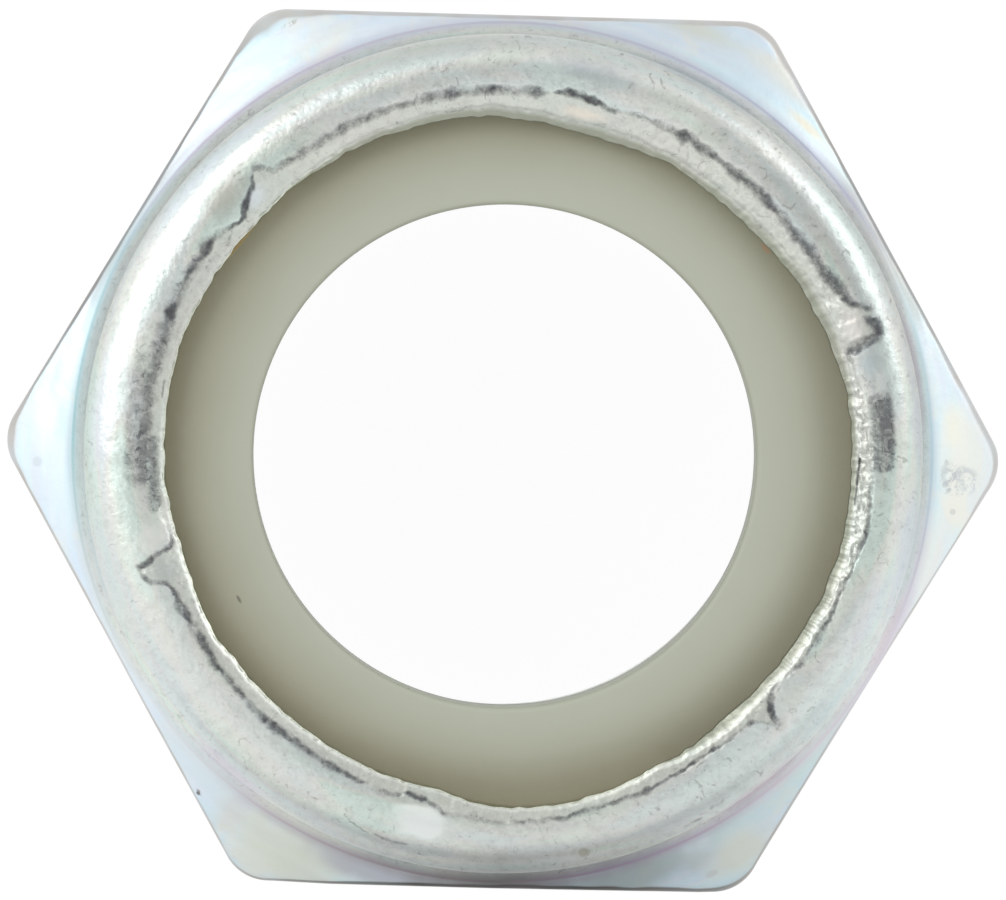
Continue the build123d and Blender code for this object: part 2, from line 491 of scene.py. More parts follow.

# Colours of the staining and of the painted shade in the corner at the foot of the
# collar, the shade darkest towards -90 degrees. Rows: degrees from -180 to 180, colour.
CORNER_STAIN_AND_SHADE = [
    (-180, (0.36, 0.56, 0.58)), (-163, (0.60, 0.66, 0.66)), (-145, (0.80, 0.85, 0.87)),
    (-131, (0.74, 0.75, 0.78)), (-120, (0.56, 0.51, 0.55)), (-104, (0.32, 0.28, 0.30)),
    (-90, (0.17, 0.15, 0.15)), (-72, (0.30, 0.24, 0.32)), (-58, (0.52, 0.46, 0.54)),
    (-42, (0.72, 0.68, 0.73)), (-24, (0.70, 0.66, 0.72)), (-12, (0.56, 0.55, 0.62)),
    (0, (0.46, 0.60, 0.66)), (18, (0.50, 0.62, 0.64)), (27, (0.52, 0.54, 0.54)),
    (38, (0.36, 0.36, 0.45)), (50, (0.36, 0.37, 0.46)), (62, (0.45, 0.47, 0.56)),
    (100, (0.50, 0.50, 0.58)), (135, (0.46, 0.42, 0.50)), (160, (0.38, 0.54, 0.57)),
    (180, (0.36, 0.56, 0.58)),
]

# Soft patches of colour in the plating, and dark patches of painted shade by the foot
# of the collar and on the hexagon's rim. Rows: degrees, radius, half length in degrees,
# half width, colour, share.
TINTS_AND_SHADE = [
    (-2, 12.70, 8.0, 0.75, (0.85, 0.85, 0.76), 0.75),
    (3.5, 12.35, 3.0, 0.30, (0.88, 0.86, 0.74), 0.60),
    (-14, 12.10, 6.0, 0.30, (0.84, 0.84, 0.77), 0.60),
    (46.8, 12.24, 3.8, 0.15, (0.80, 0.73, 0.58), 0.80),
    (53, 12.85, 6.0, 0.34, (0.82, 0.82, 0.74), 0.80),
    (67, 12.80, 8.5, 0.30, (0.72, 0.75, 0.68), 0.85),
    (57, 12.35, 7.0, 0.45, (0.68, 0.80, 0.90), 0.60),
    (119, 12.60, 6.0, 0.50, (0.76, 0.88, 0.95), 0.60),
    (175, 12.60, 4.0, 0.35, (0.90, 0.91, 0.84), 0.60),
    (186, 12.20, 7.0, 0.40, (0.76, 0.88, 0.93), 0.50),
    (226, 12.10, 8.0, 0.40, (0.70, 0.77, 0.80), 0.60),
    (233.5, 12.30, 1.6, 0.60, (0.66, 0.64, 0.74), 0.55),
    (241, 12.60, 8.5, 0.95, (0.72, 0.76, 0.68), 0.95),
    # painted shade: the next three dark patches, at 254, 270 and 287 degrees
    (254, 12.05, 9.0, 0.40, (0.44, 0.43, 0.49), 0.60),
    (270, 11.95, 14, 0.34, (0.30, 0.31, 0.30), 0.75),
    (287, 12.20, 11, 0.60, (0.40, 0.47, 0.47), 0.75),
    (305, 12.15, 9, 0.35, (0.60, 0.76, 0.76), 0.55),
    (301, 12.80, 4.6, 0.50, (0.74, 0.77, 0.70), 0.90),
    (296, 12.40, 2.0, 0.20, (0.62, 0.66, 0.64), 0.60),
    (317, 11.95, 7.0, 0.30, (0.66, 0.80, 0.77), 0.70),
    (335, 11.80, 6.0, 0.22, (0.72, 0.60, 0.68), 0.55),
    (12, 11.58, 9.0, 0.13, (0.56, 0.48, 0.55), 0.60),
    (4, 11.35, 10, 0.16, (0.66, 0.72, 0.80), 0.50),
    (-14, 11.30, 10, 0.30, (0.64, 0.72, 0.80), 0.55),
    (309, 11.55, 8.0, 0.16, (0.58, 0.49, 0.58), 0.60),
    (322, 11.25, 12, 0.28, (0.60, 0.71, 0.72), 0.60),
    (337, 10.95, 7.0, 0.25, (0.68, 0.70, 0.78), 0.50),
    (296, 11.10, 12, 0.25, (0.64, 0.69, 0.70), 0.35),
    (276, 10.85, 9, 0.22, (0.62, 0.66, 0.66), 0.35),
    (246, 11.20, 10, 0.26, (0.66, 0.70, 0.72), 0.40),
    (228, 11.45, 6.0, 0.20, (0.66, 0.62, 0.74), 0.50),
    (217, 11.10, 9.0, 0.28, (0.74, 0.80, 0.83), 0.35),
    (196, 11.30, 9.0, 0.35, (0.70, 0.76, 0.78), 0.50),
    (172, 11.05, 13, 0.25, (0.80, 0.87, 0.94), 0.60),
    (135, 11.25, 14, 0.18, (0.72, 0.80, 0.88), 0.50),
    (100, 11.20, 14, 0.25, (0.60, 0.65, 0.62), 0.50),
    (77, 10.75, 5.5, 0.35, (0.57, 0.61, 0.64), 0.60),
    (62, 11.50, 10, 0.15, (0.46, 0.52, 0.56), 0.55),
    (76.5, 9.55, 3.6, 0.18, (0.92, 0.84, 0.74), 0.75),
    (14, 10.35, 2.2, 0.35, (0.60, 0.67, 0.68), 0.80),
    (20, 10.15, 3.2, 0.35, (0.84, 0.80, 0.76), 0.70),
    (320, 10.25, 3.0, 0.30, (0.76, 0.79, 0.74), 0.70),
    (193.5, 9.95, 2.2, 0.45, (0.88, 0.90, 0.86), 0.80),
    (199, 9.90, 2.0, 0.45, (0.60, 0.64, 0.62), 0.80),
    (134, 9.75, 2.6, 0.30, (0.80, 0.86, 0.90), 0.70),
    (137, 10.35, 3.6, 0.40, (0.64, 0.65, 0.58), 0.80),
    (257.0, 10.30, 5.0, 0.54, (0.79, 0.83, 0.81), 0.95),
    # painted shade: the next three dark patches, at 28 to 29 and 149 degrees
    (29, 11.72, 9.0, 0.20, (0.52, 0.54, 0.505), 0.80),
    (28, 11.96, 14, 0.16, (0.46, 0.49, 0.45), 0.85),
    (149, 11.97, 14, 0.16, (0.40, 0.42, 0.40), 0.85),
    (222, 10.30, 22, 0.50, (0.74, 0.74, 0.70), 0.45),
    (30, 9.60, 14, 0.20, (0.70, 0.74, 0.66), 0.35),
]

# Grainy bare patches. Rows: start and end in degrees, inner and outer radius, strength.
GRAIN = [
    (-1.5, 9.2, 10.24, 10.76, 1.0), (-4, 9.8, 10.03, 10.76, 0.80),
    (-6.5, -3, 10.15, 10.62, 0.45), (7, 12, 10.02, 10.40, 0.50),
    (118, 127, 9.93, 10.15, 0.45), (143, 168, 9.66, 10.10, 0.68),
    (156, 184, 9.56, 10.04, 0.74), (164, 186, 9.66, 10.38, 0.66),
    (174, 186, 9.60, 10.06, 0.88), (176, 190.5, 9.36, 9.82, 0.80),
    (202.5, 206, 9.86, 10.15, 0.35), (353, 360, 10.15, 10.62, 0.45),
]

# Scratches and small cracks beside the lap. Each is a list of (degrees, radius), its
# half width and its darkness.
SCRATCHES = [
    ([(246.4, 10.80), (247.6, 10.92), (249.2, 10.98), (250.6, 11.05)], 0.03, 0.60),
    ([(251.4, 11.00), (252.8, 11.05), (254.6, 11.06), (256.4, 11.03)], 0.035, 0.60),
    ([(295.8, 11.42), (298.5, 11.36), (301, 11.27), (303.4, 11.24)], 0.035, 0.5),
    ([(239, 11.68), (243, 11.67), (248, 11.70), (253, 11.72)], 0.02, 0.35),
    ([(29.5, 11.63), (31.5, 11.64), (33, 11.61)], 0.03, 0.35),
    ([(35.5, 11.64), (37, 11.63)], 0.025, 0.25),
    ([(73.2, 11.26), (75.8, 11.30)], 0.03, 0.25),
    ([(351.6, 9.70), (355, 9.71), (359, 9.76)], 0.035, 1.0),
    ([(140.8, 9.53), (142.2, 9.47)], 0.035, 0.5),
    ([(168, 9.45), (171, 9.43)], 0.03, 0.6),
    ([(229.2, 10.72), (230.6, 10.82)], 0.04, 0.3),
    ([(94.5, 9.39), (99.5, 9.42)], 0.025, 0.5),
]

# Scuffs in the plating. Rows: degrees, radius, half length, half width, colour, share.
SCUFFS = [
    (356.4, 12.62, 0.44, 0.54, (0.36, 0.41, 0.48), 0.46),
    (356.6, 12.26, 0.50, 0.26, (0.42, 0.43, 0.44), 0.42),
    (228.2, 12.54, 0.16, 0.07, (0.26, 0.24, 0.22), 0.80),
    (116.4, 13.12, 0.30, 0.07, (0.30, 0.30, 0.28), 0.60),
]

# Pits and soft spots, drawn whole. Rows: as for the scuffs.
SPOTS = [
    (281.4, 11.11, 0.17, 0.14, (0.26, 0.23, 0.16), 0.42),
    (181.2, 12.78, 0.16, 0.14, (0.44, 0.46, 0.45), 0.25),
    (296.4, 12.95, 0.20, 0.10, (0.46, 0.43, 0.36), 0.25),
    (352.4, 12.48, 0.09, 0.09, (0.40, 0.41, 0.44), 0.35),
    (358.6, 12.20, 0.10, 0.07, (0.42, 0.42, 0.44), 0.35),
    (228.3, 12.56, 0.07, 0.05, (0.14, 0.13, 0.12), 0.80),
]

# The patch where the cut end was pressed smooth: degrees, radius, half length in
# degrees, half width.
SMOOTH_PATCH = (257.0, 10.30, 4.1, 0.46)


def polar(degrees, radius):
    """Point at an angle in degrees and a radius."""
    turn = math.radians(degrees)
    return radius * math.cos(turn), radius * math.sin(turn)


def stroke_distance(x, y, rows):
    """Distance from each point to a path of (degrees, radius, width, darkness) rows.

    Also gives the width and the darkness at the nearest place on the path.
    """
    best = np.full(x.shape, 1e9)
    width = np.zeros(x.shape)
    dark = np.zeros(x.shape)
    for first, last in zip(rows, rows[1:]):
        ax, ay = polar(first[0], first[1])
        bx, by = polar(last[0], last[1])
        run_x, run_y = bx - ax, by - ay
        share = ((x - ax) * run_x + (y - ay) * run_y) / (run_x**2 + run_y**2)
        share = np.clip(share, 0, 1)
        gap = np.hypot(x - ax - share * run_x, y - ay - share * run_y)
        near = gap < best
        best = np.where(near, gap, best)
        width = np.where(near, blend(first[2], last[2], share), width)
        dark = np.where(near, blend(first[3], last[3], share), dark)
    return best, width, dark


def box_mask(degrees, radius, start, end, low, high, soft):
    """1 inside a patch of the collar, easing to 0 over its soft border."""
    middle, half = (start + end) / 2, (end - start) / 2
    away = (degrees - middle + 180) % 360 - 180
    along_arc = (half - np.abs(away)) * math.radians(1) * radius
    level = smooth_step(along_arc, -soft, soft * 2)
    level = level * smooth_step(radius, low - soft, low + soft)
    return level * smooth_step(-radius, -high - soft, -high + soft)


# ---- Steel body ----

# What the body's skin tells its finish, point by point.
BODY_MARKS = (
    "soot", "grain", "rolled", "hexagon", "smooth", "plate", "flats", "crinkle",
)

# What varies over the rolled edge: distance from the lap, inside it as a negative
# number, width and darkness of its line, painted shade in the lap with the scratches
# beside it, grain, how smooth it was pressed, and the level of the plating with its
# painted light and shade.
LipMarks = namedtuple("LipMarks", "signed width dark soot grain smooth plate")

# Points in a ring, from the lip and the lap to the faces that nothing shows.
FINE, MIDDLE, COARSE, HIDDEN = 1344, 672, 336, 168

# How far the points of the hexagon's rings crowd towards its corners.
CROWDING = 0.6

# Fall of the hexagon's ends towards its corners.
END_SLOPE = 30.0
END_RISE = math.tan(math.radians(END_SLOPE))

# Sizes in millimetres: the mouths of the bore, the rounding of the hexagon's lower
# edge, how far the crest lies below the solids' highest point, and how much of that
# its waves may fill.
MOUTH = 8.3
LOW_ROUND = 0.30
TOP_ROOM, CREST_ROOM = 0.015, 0.012

# The dome of the collar, in millimetres: how tall its outer round is, how far the wall
# leans in below it, the radius where the finest rings begin, and how far the sheet
# falls over a run inside the crest.
DOME_TALL = 0.95
WALL_LEAN = 0.01
JOIN = 11.08
SHEET_FALL, SHEET_RUN = 0.10, 0.7

# Layers of ripples: long and short waves in the sheet of the dome, the crinkles of the
# cut end, and the raggedness of the lap's line, sideways and up.
DOME_WAVES = (0.006, 70, 0.8, 21)
SMALL_WAVES = (0.0025, 210, 0.25, 22)
CRINKLES = (0.030, 460, 0.13, 31), (0.036, 660, 0.09, 32)
RAGGED_X = (0.030, 330, 0.19, 71), (0.022, 610, 0.10, 72)
RAGGED_Y = (0.030, 310, 0.21, 73), (0.022, 590, 0.11, 74)

# Radii over which the level of the plating, with its painted light and shade, passes
# from the crest to the outer round, from there to the fillet, and from there to the
# hexagon.
LEVEL_BANDS = ((10.75, 11.15), (11.18, 11.58), (11.72, 11.95))

# The sides where the edge of the lip is lit and where it is less so, in degrees: start,
# full, last and end.
LIT_SIDE = (165, 178, 342, 352)
DIM_SIDE = (238, 248, 276, 288)

# Rings from JOIN to the edge of the lip, and the power that draws them closer
# together towards it.
LAP_ROWS = 39
ROW_CROWDING = 0.96

# The foot of the lip's inner wall and its underside, in millimetres below the top of
# the nylon ring.
WALL_FOOT = 0.32
UNDERSIDE = 0.45

# The middle of the side where the lap is shallow, in degrees.
SHALLOW_SIDE = 328

# Inner wall of the lip, from its edge down. Rows: share of its width, and how far it
# has fallen for that share. The last row stands on the nylon.
LIP_STEPS = ((0.12, 0.5), (0.5, 0.66), (0.9, 0.70), (0.97, 0.71), (1.0, None))

# Colours and shares of the brownish grey on the hexagon's rounded upper edge, and of
# the greenish painted reflection of the nylon on the lip's inner wall.
UPPER_EDGE_GREY = (0.60, 0.585, 0.56, 0.8)
NYLON_REFLECTION_GREEN = (0.68, 0.71, 0.57, 0.8)

# One turn of the thread. Rows: share of the pitch, share of the depth.
THREAD_FORM = [
    (0.0, 0.0), (0.155, 0.0), (0.19, 0.03), (0.31, 0.5), (0.425, 0.97), (0.46, 1.0),
    (0.54, 1.0), (0.575, 0.97), (0.69, 0.5), (0.81, 0.03), (0.845, 0.0),
]


def hexagon_reach(angle, flat, corner):
    """Distance from the axis to the side of the hexagon with rounded corners."""
    edge = math.cos(math.pi / 6)
    rounding = (flat - corner * edge) / (1 - edge)
    centre = corner - rounding
    off = (angle + math.pi / 6) % (math.pi / 3) - math.pi / 6
    tangent = math.atan2(rounding * 0.5, centre + rounding * edge)
    on_corner = centre * np.cos(off) + np.sqrt(
        np.maximum(rounding**2 - (centre * np.sin(off)) ** 2, 0)
    )
    on_flat = flat / np.cos(math.pi / 6 - np.abs(off))
    return np.where(np.abs(off) < tangent, on_corner, on_flat)


def side_reach(angle, flat, corner):
    """Distance from the axis to the sides of the hexagon as they really lie."""
    return hexagon_reach(angle, flat, corner) - along(angle - TABLE_TURN, SIDES)


def edge_round(reach, height, radius, steps, upward):
    """Profile points of the rounding between a falling end and an upright flat."""
    pull = radius * math.tan(math.radians(90 - END_SLOPE) / 2)
    sign = 1 if upward else -1
    points = []
    for lean in np.linspace(90, END_SLOPE, steps):
        turn = math.radians(lean)
        away = reach - radius + radius * math.sin(turn)
        points.append((away, height - sign * pull + sign * radius * math.cos(turn)))
    return points if upward else points[::-1]


def add_thread(shell, sizes, top_ring, bottom_ring, floor):
    """Cuts a right-hand thread between the two mouths of the bore."""
    pitch = sizes.thread_pitch / MM
    crest = sizes.crest_radius / MM
    depth = sizes.thread_depth / MM
    rows_in_turn = len(THREAD_FORM)
    columns = len(top_ring)
    turns = int(math.ceil(floor / pitch)) + 1
    numbers = {}
    places = []

    def number(row, column):
        """Number of a point of the thread, or of the mouth that it runs into."""
        if column == columns:
            row, column = row + rows_in_turn, 0
        turn, step = divmod(row, rows_in_turn)
        share, cut = THREAD_FORM[step]
        height = pitch * (turn - 1 + share + column / columns)
        if height <= 0:
            return bottom_ring[column]
        if height >= floor:
            return top_ring[column]
        if (row, column) not in numbers:
            radius = crest + depth * cut
            radius = max(radius, MOUTH - height / END_RISE)
            radius = max(radius, MOUTH - (floor - height) / END_RISE)
            places.append((column * TURN / columns, radius, height))
            numbers[(row, column)] = shell.total + len(places) - 1
        return numbers[(row, column)]

    faces = []
    for row in range(turns * rows_in_turn):
        for column in range(columns):
            loop = [
                number(row + 1, column), number(row + 1, column + 1),
                number(row, column + 1), number(row, column),
            ]
            kept = [v for k, v in enumerate(loop) if v != loop[k - 1]]
            if len(set(kept)) >= 3:
                faces.append([int(v) for v in kept])
    shell.ring(*np.array(places).T)
    shell.faces += faces


def reach_of(angle, table):
    """Radius about the axis of an edge whose table has its own centre."""
    turned = angle - TABLE_TURN
    centre_x, centre_y = TABLE_CENTRE
    shift = centre_x * np.cos(turned) + centre_y * np.sin(turned)
    return along(turned, table) + shift


def plating_and_painted_light_level(turned, radius):
    """Level of the plating and its painted light and shade at these places."""
    degrees = np.degrees(turned) % 360
    level, outer, fillet, _, rim = (along(turned, PLATE_LIGHT_AND_SHADE, k) for k in range(1, 6))
    for further, band in zip((outer, fillet, rim), LEVEL_BANDS):
        level = blend(level, further, smooth_step(radius, *band))
    for start, end, low, high, place in PLACES:
        patch = box_mask(degrees, radius, start, end, low, high, 0.12)
        level = level * blend(1, place, patch)
    return level


def tints_and_shade_at(angle, radius):
    """Colour and share of the plating's patches and painted shade at these places."""
    turned = angle - TABLE_TURN
    radius = np.broadcast_to(radius, turned.shape)
    degrees = np.degrees(turned) % 360
    colours = np.ones((len(turned), 4))
    colours[:, 3] = 0
    rag = ripples(turned, radius, (0.22, 90, 0.8, 81), (0.10, 260, 0.3, 82))
    for middle, reach, half_turn, half_wide, colour, share in TINTS_AND_SHADE:
        away = ((degrees - middle + 180) % 360 - 180) / half_turn
        away = np.hypot(away, (radius - reach) / half_wide) + rag
        level = share * smooth_step(-away, -1.4, -0.35)
        total = level + colours[:, 3] * (1 - level)
        part = (level / np.maximum(total, 1e-6))[:, None]
        colours[:, :3] = blend(colours[:, :3], np.array(colour), part)
        colours[:, 3] = total
    return colours


def lit_edge(angle, degrees, to_edge):
    """Share of the painted highlight along the edge of the lip, from 0 to 1."""
    light = 0.35 + 0.65 * span(degrees, *LIT_SIDE)
    light = light * (0.72 + 0.28 * wobble(angle, 90, 78))
    light = light * (1 - 0.7 * span(degrees, *DIM_SIDE))
    return light * smooth_step(-to_edge, -0.14, -0.03)


def lip_marks(angle, radius):
    """Everything that varies over the rolled edge, at these angles and radii."""
    x = radius * np.cos(angle - TABLE_TURN) - TABLE_CENTRE[0]
    y = radius * np.sin(angle - TABLE_TURN) - TABLE_CENTRE[1]
    angle, radius = np.arctan2(y, x), np.hypot(x, y)
    degrees = np.degrees(angle) % 360

    # the lap, shaken so that its dark line is ragged
    lap_rows = LAP + [(LAP[0][0] + 360, *LAP[0][1:])]
    shaken_x = x + ripples(angle, radius, *RAGGED_X)
    shaken_y = y + ripples(angle, radius, *RAGGED_Y)
    gap, width, dark = stroke_distance(shaken_x, shaken_y, lap_rows)
    shaken_angle = np.arctan2(shaken_y, shaken_x)
    outside = np.hypot(shaken_x, shaken_y) > along(shaken_angle, LAP)
    width = width * (1 + 0.35 * ripple(angle, radius, 210, 0.45, 75))
    dark = dark * np.clip(0.90 + 0.28 * ripple(angle, radius, 170, 0.6, 76), 0, 1)
    signed = np.where(outside, gap, -gap)
    # painted shade along the lap's crease, then the dark scratches beside it
    soot = dark * smooth_step(-gap, -2.5 * width, -0.3 * width)
    for path, half, depth in SCRATCHES:
        rows = [(d, r, half, depth) for d, r in path]
        away, _, _ = stroke_distance(x, y, rows)
        soot = np.maximum(soot, depth * smooth_step(-away, -1.8 * half, -0.3 * half))

    # bare patches and the patch that was pressed smooth
    grain = np.zeros(angle.shape)
    for start, end, low, high, strength in GRAIN:
        patch = box_mask(degrees, radius, start, end, low, high, 0.16)
        grain = np.maximum(grain, strength * patch)
    middle, reach, half_turn, half_wide = SMOOTH_PATCH
    away = np.hypot((degrees - middle) / half_turn, (radius - reach) / half_wide)
    away = away + 0.20 * ripple(angle, radius, 150, 0.22, 77)
    smooth = smooth_step(-away, -1.16, -0.86)

    # level of the plating, with its painted light and shade, on the sheet, on its cut
    # end and close to the edge
    plate = plating_and_painted_light_level(angle, radius)
    on_end = smooth_step(-signed, -0.05, 0.05) * (1 - smooth)
    plate = blend(plate, along(angle, PLATE_LIGHT_AND_SHADE, 4), on_end)
    # painted highlight along the edge of the lip
    plate = blend(plate, 1, lit_edge(angle, degrees, radius - along(angle, LIP)))
    pressed = 0.98 + 0.25 * smooth_step(-radius, -10.38, -9.85)
    plate = blend(plate, pressed, smooth)
    return LipMarks(signed, width, dark, soot, grain, smooth, plate)


class SteelBody:
    """The plated body, drawn ring by ring, in millimetres."""

    def __init__(self, sizes, insert):
        self.sizes = sizes
        self.flat = sizes.across_flats / MM / 2
        self.corner = sizes.across_corners / MM / 2
        self.top = sizes.height / MM - TOP_ROOM
        self.hex_top = sizes.hex_height / MM
        self.bearing = sizes.bearing_radius / MM
        self.foot = sizes.foot_radius / MM
        self.wall = sizes.wall_radius / MM
        self.wall_top = self.wall - WALL_LEAN
        self.shoulder = self.top - DOME_TALL
        self.pocket = sizes.pocket_radius / MM
        self.floor = insert.floor / MM
        self.nylon_top = insert.top / MM
        self.shell = RingShell(*BODY_MARKS)
        self.rings = []

    def add(self, angle, radius, height, *paint, **marks):
        """Adds the next ring up the outside, over the collar and down the pocket."""
        self.rings.append(self.shell.ring(angle, radius, height, *paint, **marks))

    def add_with_tints_and_shade(self, angle, radius, height, **marks):
        """Adds a ring with the soft patches of colour and of painted shade on the
        plating.
        """
        self.add(angle, radius, height, tints_and_shade_at(angle, radius), **marks)

    def sheet_height(self, radius, crest):
        """Height of the collar's sheet, without its lap."""
        over = np.clip((radius - crest) / (self.wall_top - crest), 0, 1)
        inside = np.maximum(crest - radius, 0) / SHEET_RUN
        height = self.shoulder + DOME_TALL * np.sqrt(1 - over**2)
        return height - SHEET_FALL * inside**2

    def end_height(self, radius):
        """Height of the hexagon's falling upper end."""
        return self.hex_top - (radius - self.foot) * END_RISE

    def lower_hexagon(self):
        """Bearing face, its falling corners and the flats."""
        angle = round_angles(COARSE, CROWDING)
        reach = side_reach(angle, self.flat, self.corner)
        for out, height in ((-0.25, 0), (-0.10, 0), (0.03, 0.025)):
            self.add(angle, self.bearing + out, height, hexagon=1, flats=0.8)
        low_edge = (reach - self.bearing) * END_RISE
        start = edge_round(reach, low_edge, LOW_ROUND, 5, False)
        inner = start[0][0]
        for share in (0.12, 0.5, 0.85):
            radius = blend(self.bearing + 0.09, inner, share)
            height = (radius - self.bearing) * END_RISE
            self.add(angle, radius, height, hexagon=1, flats=0.8)
        for radius, height in start:
            self.add(angle, radius, height, hexagon=1, flats=0.9)
        for height in (low_edge + 0.5, (low_edge + self.end_height(reach)) / 2):
            self.add(angle, reach, height, hexagon=1, flats=1)

    def upper_hexagon(self):
        """Head of the flats, their upper edge with painted shade and the slope to the
        collar.
        """
        angle = round_angles(MIDDLE, CROWDING)
        turned = angle - TABLE_TURN
        reach = side_reach(angle, self.flat, self.corner)
        high_edge = self.end_height(reach)
        rounding = 2 * along(turned, RIM) * (1 + 0.16 * wobble(angle, 140, 91))
        rounding = np.minimum(rounding, 2 * (reach - self.foot) - 0.04)
        self.add(angle, reach, high_edge - rounding * 0.6 - 0.3, hexagon=1, flats=1)
        upper = edge_round(reach, high_edge, rounding, 6, True)
        rim = along(turned, PLATE_LIGHT_AND_SHADE, 5)
        # painted shade on the rounded upper edge, darkest towards 270 degrees
        rim_shade = along(turned, RIM, 2)
        brown = np.array([UPPER_EDGE_GREY]).repeat(len(angle), 0)
        brown[:, 3] += 0.2 * wobble(angle, 170, 92)
        for step, (radius, height) in enumerate(upper[:-1]):
            share = min(1, step / 2)
            level = blend(1, rim_shade, share)
            self.add(
                angle, radius, height, brown, hexagon=1, flats=1 - share, plate=level
            )
        outer, height = upper[-1]
        self.add_with_tints_and_shade(angle, outer, height, hexagon=1, plate=rim)
        for share in (0.93, 0.80, 0.66, 0.52, 0.38, 0.24, 0.10):
            radius = blend(self.foot, outer, share)
            height = self.end_height(radius)
            self.add_with_tints_and_shade(angle, radius, height, hexagon=1, plate=rim)

    def foot_and_wall(self):
        """Fillet at the foot of the collar, its wall and its outer round."""
        slope = math.radians(END_SLOPE)
        fillet = (self.foot - self.wall) / (1 - math.sin(slope))
        centre = self.hex_top + fillet * math.cos(slope)
        steps = 8
        for step, lean in enumerate(np.linspace(240, 181.5, steps)):
            turn = math.radians(lean)
            angle = round_angles(MIDDLE, CROWDING * (1 - step / steps))
            radius = self.wall + fillet + fillet * math.cos(turn)
            height = centre + fillet * math.sin(turn)
            level = plating_and_painted_light_level(angle - TABLE_TURN, radius)
            hexagon = max(0.0, 1 - step / 2)
            self.add_with_tints_and_shade(angle, radius, height, hexagon=hexagon, plate=level)
        angle = round_angles(MIDDLE)
        for share in (0.08, 0.35, 0.65, 0.92):
            radius = blend(self.wall, self.wall_top, share)
            height = blend(centre, self.shoulder, share)
            midway = 1 - abs(2 * share - 1)
            level = plating_and_painted_light_level(angle - TABLE_TURN, radius)
            level = blend(level, 1, 0.6 * midway)
            paint = tints_and_shade_at(angle, radius)
            paint[:, 3] *= 1 - midway
            self.add(angle, radius, height, paint, plate=level)
        crest = reach_of(angle, CREST)
        dome_wide = self.wall_top - crest
        last = np.arccos((JOIN - crest) / dome_wide)
        for share in np.linspace(0, 1, 6)[:-1]:
            radius = crest + dome_wide * np.cos(last * share)
            height = self.shoulder + DOME_TALL * np.sin(last * share)
            height = height + ripples(angle, radius, DOME_WAVES) * share
            marks = lip_marks(angle, radius)
            self.add_with_tints_and_shade(angle, radius, height, soot=marks.soot, plate=marks.plate)

    def rolled_edge(self):
        """Dome, lap, cut end and lip of the collar, in the finest rings."""
        angle = round_angles(FINE)
        turned = angle - TABLE_TURN
        crest = reach_of(angle, CREST)
        edge = reach_of(angle, LIP)
        edge = edge + 0.022 * wobble(angle, 260, 11) + 0.020 * wobble(angle, 97, 12)
        inner_wall = along(turned, LIP, 2) + 0.012 * wobble(angle, 190, 13)
        inner_wall = np.maximum(inner_wall, 0.02)

        # how far the cut end is tucked under the sheet, and where it starts to fall
        off_side = np.cos(angle - math.radians(SHALLOW_SIDE))
        shallow = 1 - 0.75 * smooth_step(off_side, 0.80, 0.93)
        tuck = 0.012 * smooth_step(along(turned, LAP, 3), 0.2, 0.7) * shallow
        near = [reach_of(angle + math.radians(d), LAP) for d in (-8, -4, 0, 4, 8)]
        lap = np.mean(near, 0)
        fall_slope = along(turned, FALL)
        edge_height = self.sheet_height(lap, crest) - tuck - (lap - edge) * fall_slope
        crinkle = along(turned, CRINKLE)

        for row in range(LAP_ROWS + 1):
            share = (row / LAP_ROWS) ** ROW_CROWDING
            radius = blend(JOIN, edge, share)
            marks = lip_marks(angle, radius)
            sheet = self.sheet_height(radius, crest)
            sheet = sheet + ripples(angle, radius, DOME_WAVES, SMALL_WAVES)

            # the cut end: level under the sheet, then falling, crinkled and rounded
            ramp = edge_height + (radius - edge) * fall_slope
            gap = np.clip((ramp - (sheet - tuck)) / 0.08, -1, 1)
            cut_end = np.minimum(ramp, sheet - tuck) - 0.01 * (1 - np.abs(gap)) ** 2
            crinkles = crinkle * ripples(angle, radius, *CRINKLES)
            cut_end = cut_end + crinkles * (1 - 0.7 * marks.smooth)
            near_edge = np.clip(1 - (radius - edge) / 0.11, 0, 1)
            cut_end = cut_end - 0.035 * near_edge**2

            inside = smooth_step(-marks.signed, -0.06, 0.06)
            height = blend(sheet, cut_end, inside)
            off_lap = marks.signed / np.maximum(marks.width, 0.03)
            groove = 0.15 * marks.width * marks.dark * np.exp(-(off_lap**2)) * shallow
            pits = marks.grain * ripple(angle, radius, 420, 0.16, 41)
            height = height - groove + 0.008 * pits
            self.add_with_tints_and_shade(
                angle, radius, np.minimum(height, self.top + CREST_ROOM),
                soot=marks.soot, grain=marks.grain, rolled=inside * (1 - marks.smooth),
                smooth=marks.smooth, plate=marks.plate, crinkle=crinkle * inside,
            )
        self.lip_wall(angle, edge, inner_wall, np.minimum(height, self.top))

    def lip_wall(self, angle, edge, wide, edge_height):
        """The lip's inner wall, from its edge down to the nylon that it pinches."""
        # painted shade on the lip's inner wall: wide walls are darker, and the wall is
        # painted lighter on the side towards 90 degrees
        painted_wall_light = 0.58 + 0.32 * smooth_step(-wide, -0.10, -0.04)
        painted_wall_light = painted_wall_light * (1 + 0.25 * smooth_step(np.sin(angle), 0.2, 0.9))
        # painted reflection: the greenish colour stands in for the nylon mirrored in
        # the wall
        green = np.array([NYLON_REFLECTION_GREEN]).repeat(len(angle), 0)
        for share, fall in LIP_STEPS:
            fade = min(1, 2.2 * share)
            radius = edge - share * wide
            marks = lip_marks(angle, radius)
            if fall is None:
                height = 0 * angle + self.nylon_top - WALL_FOOT
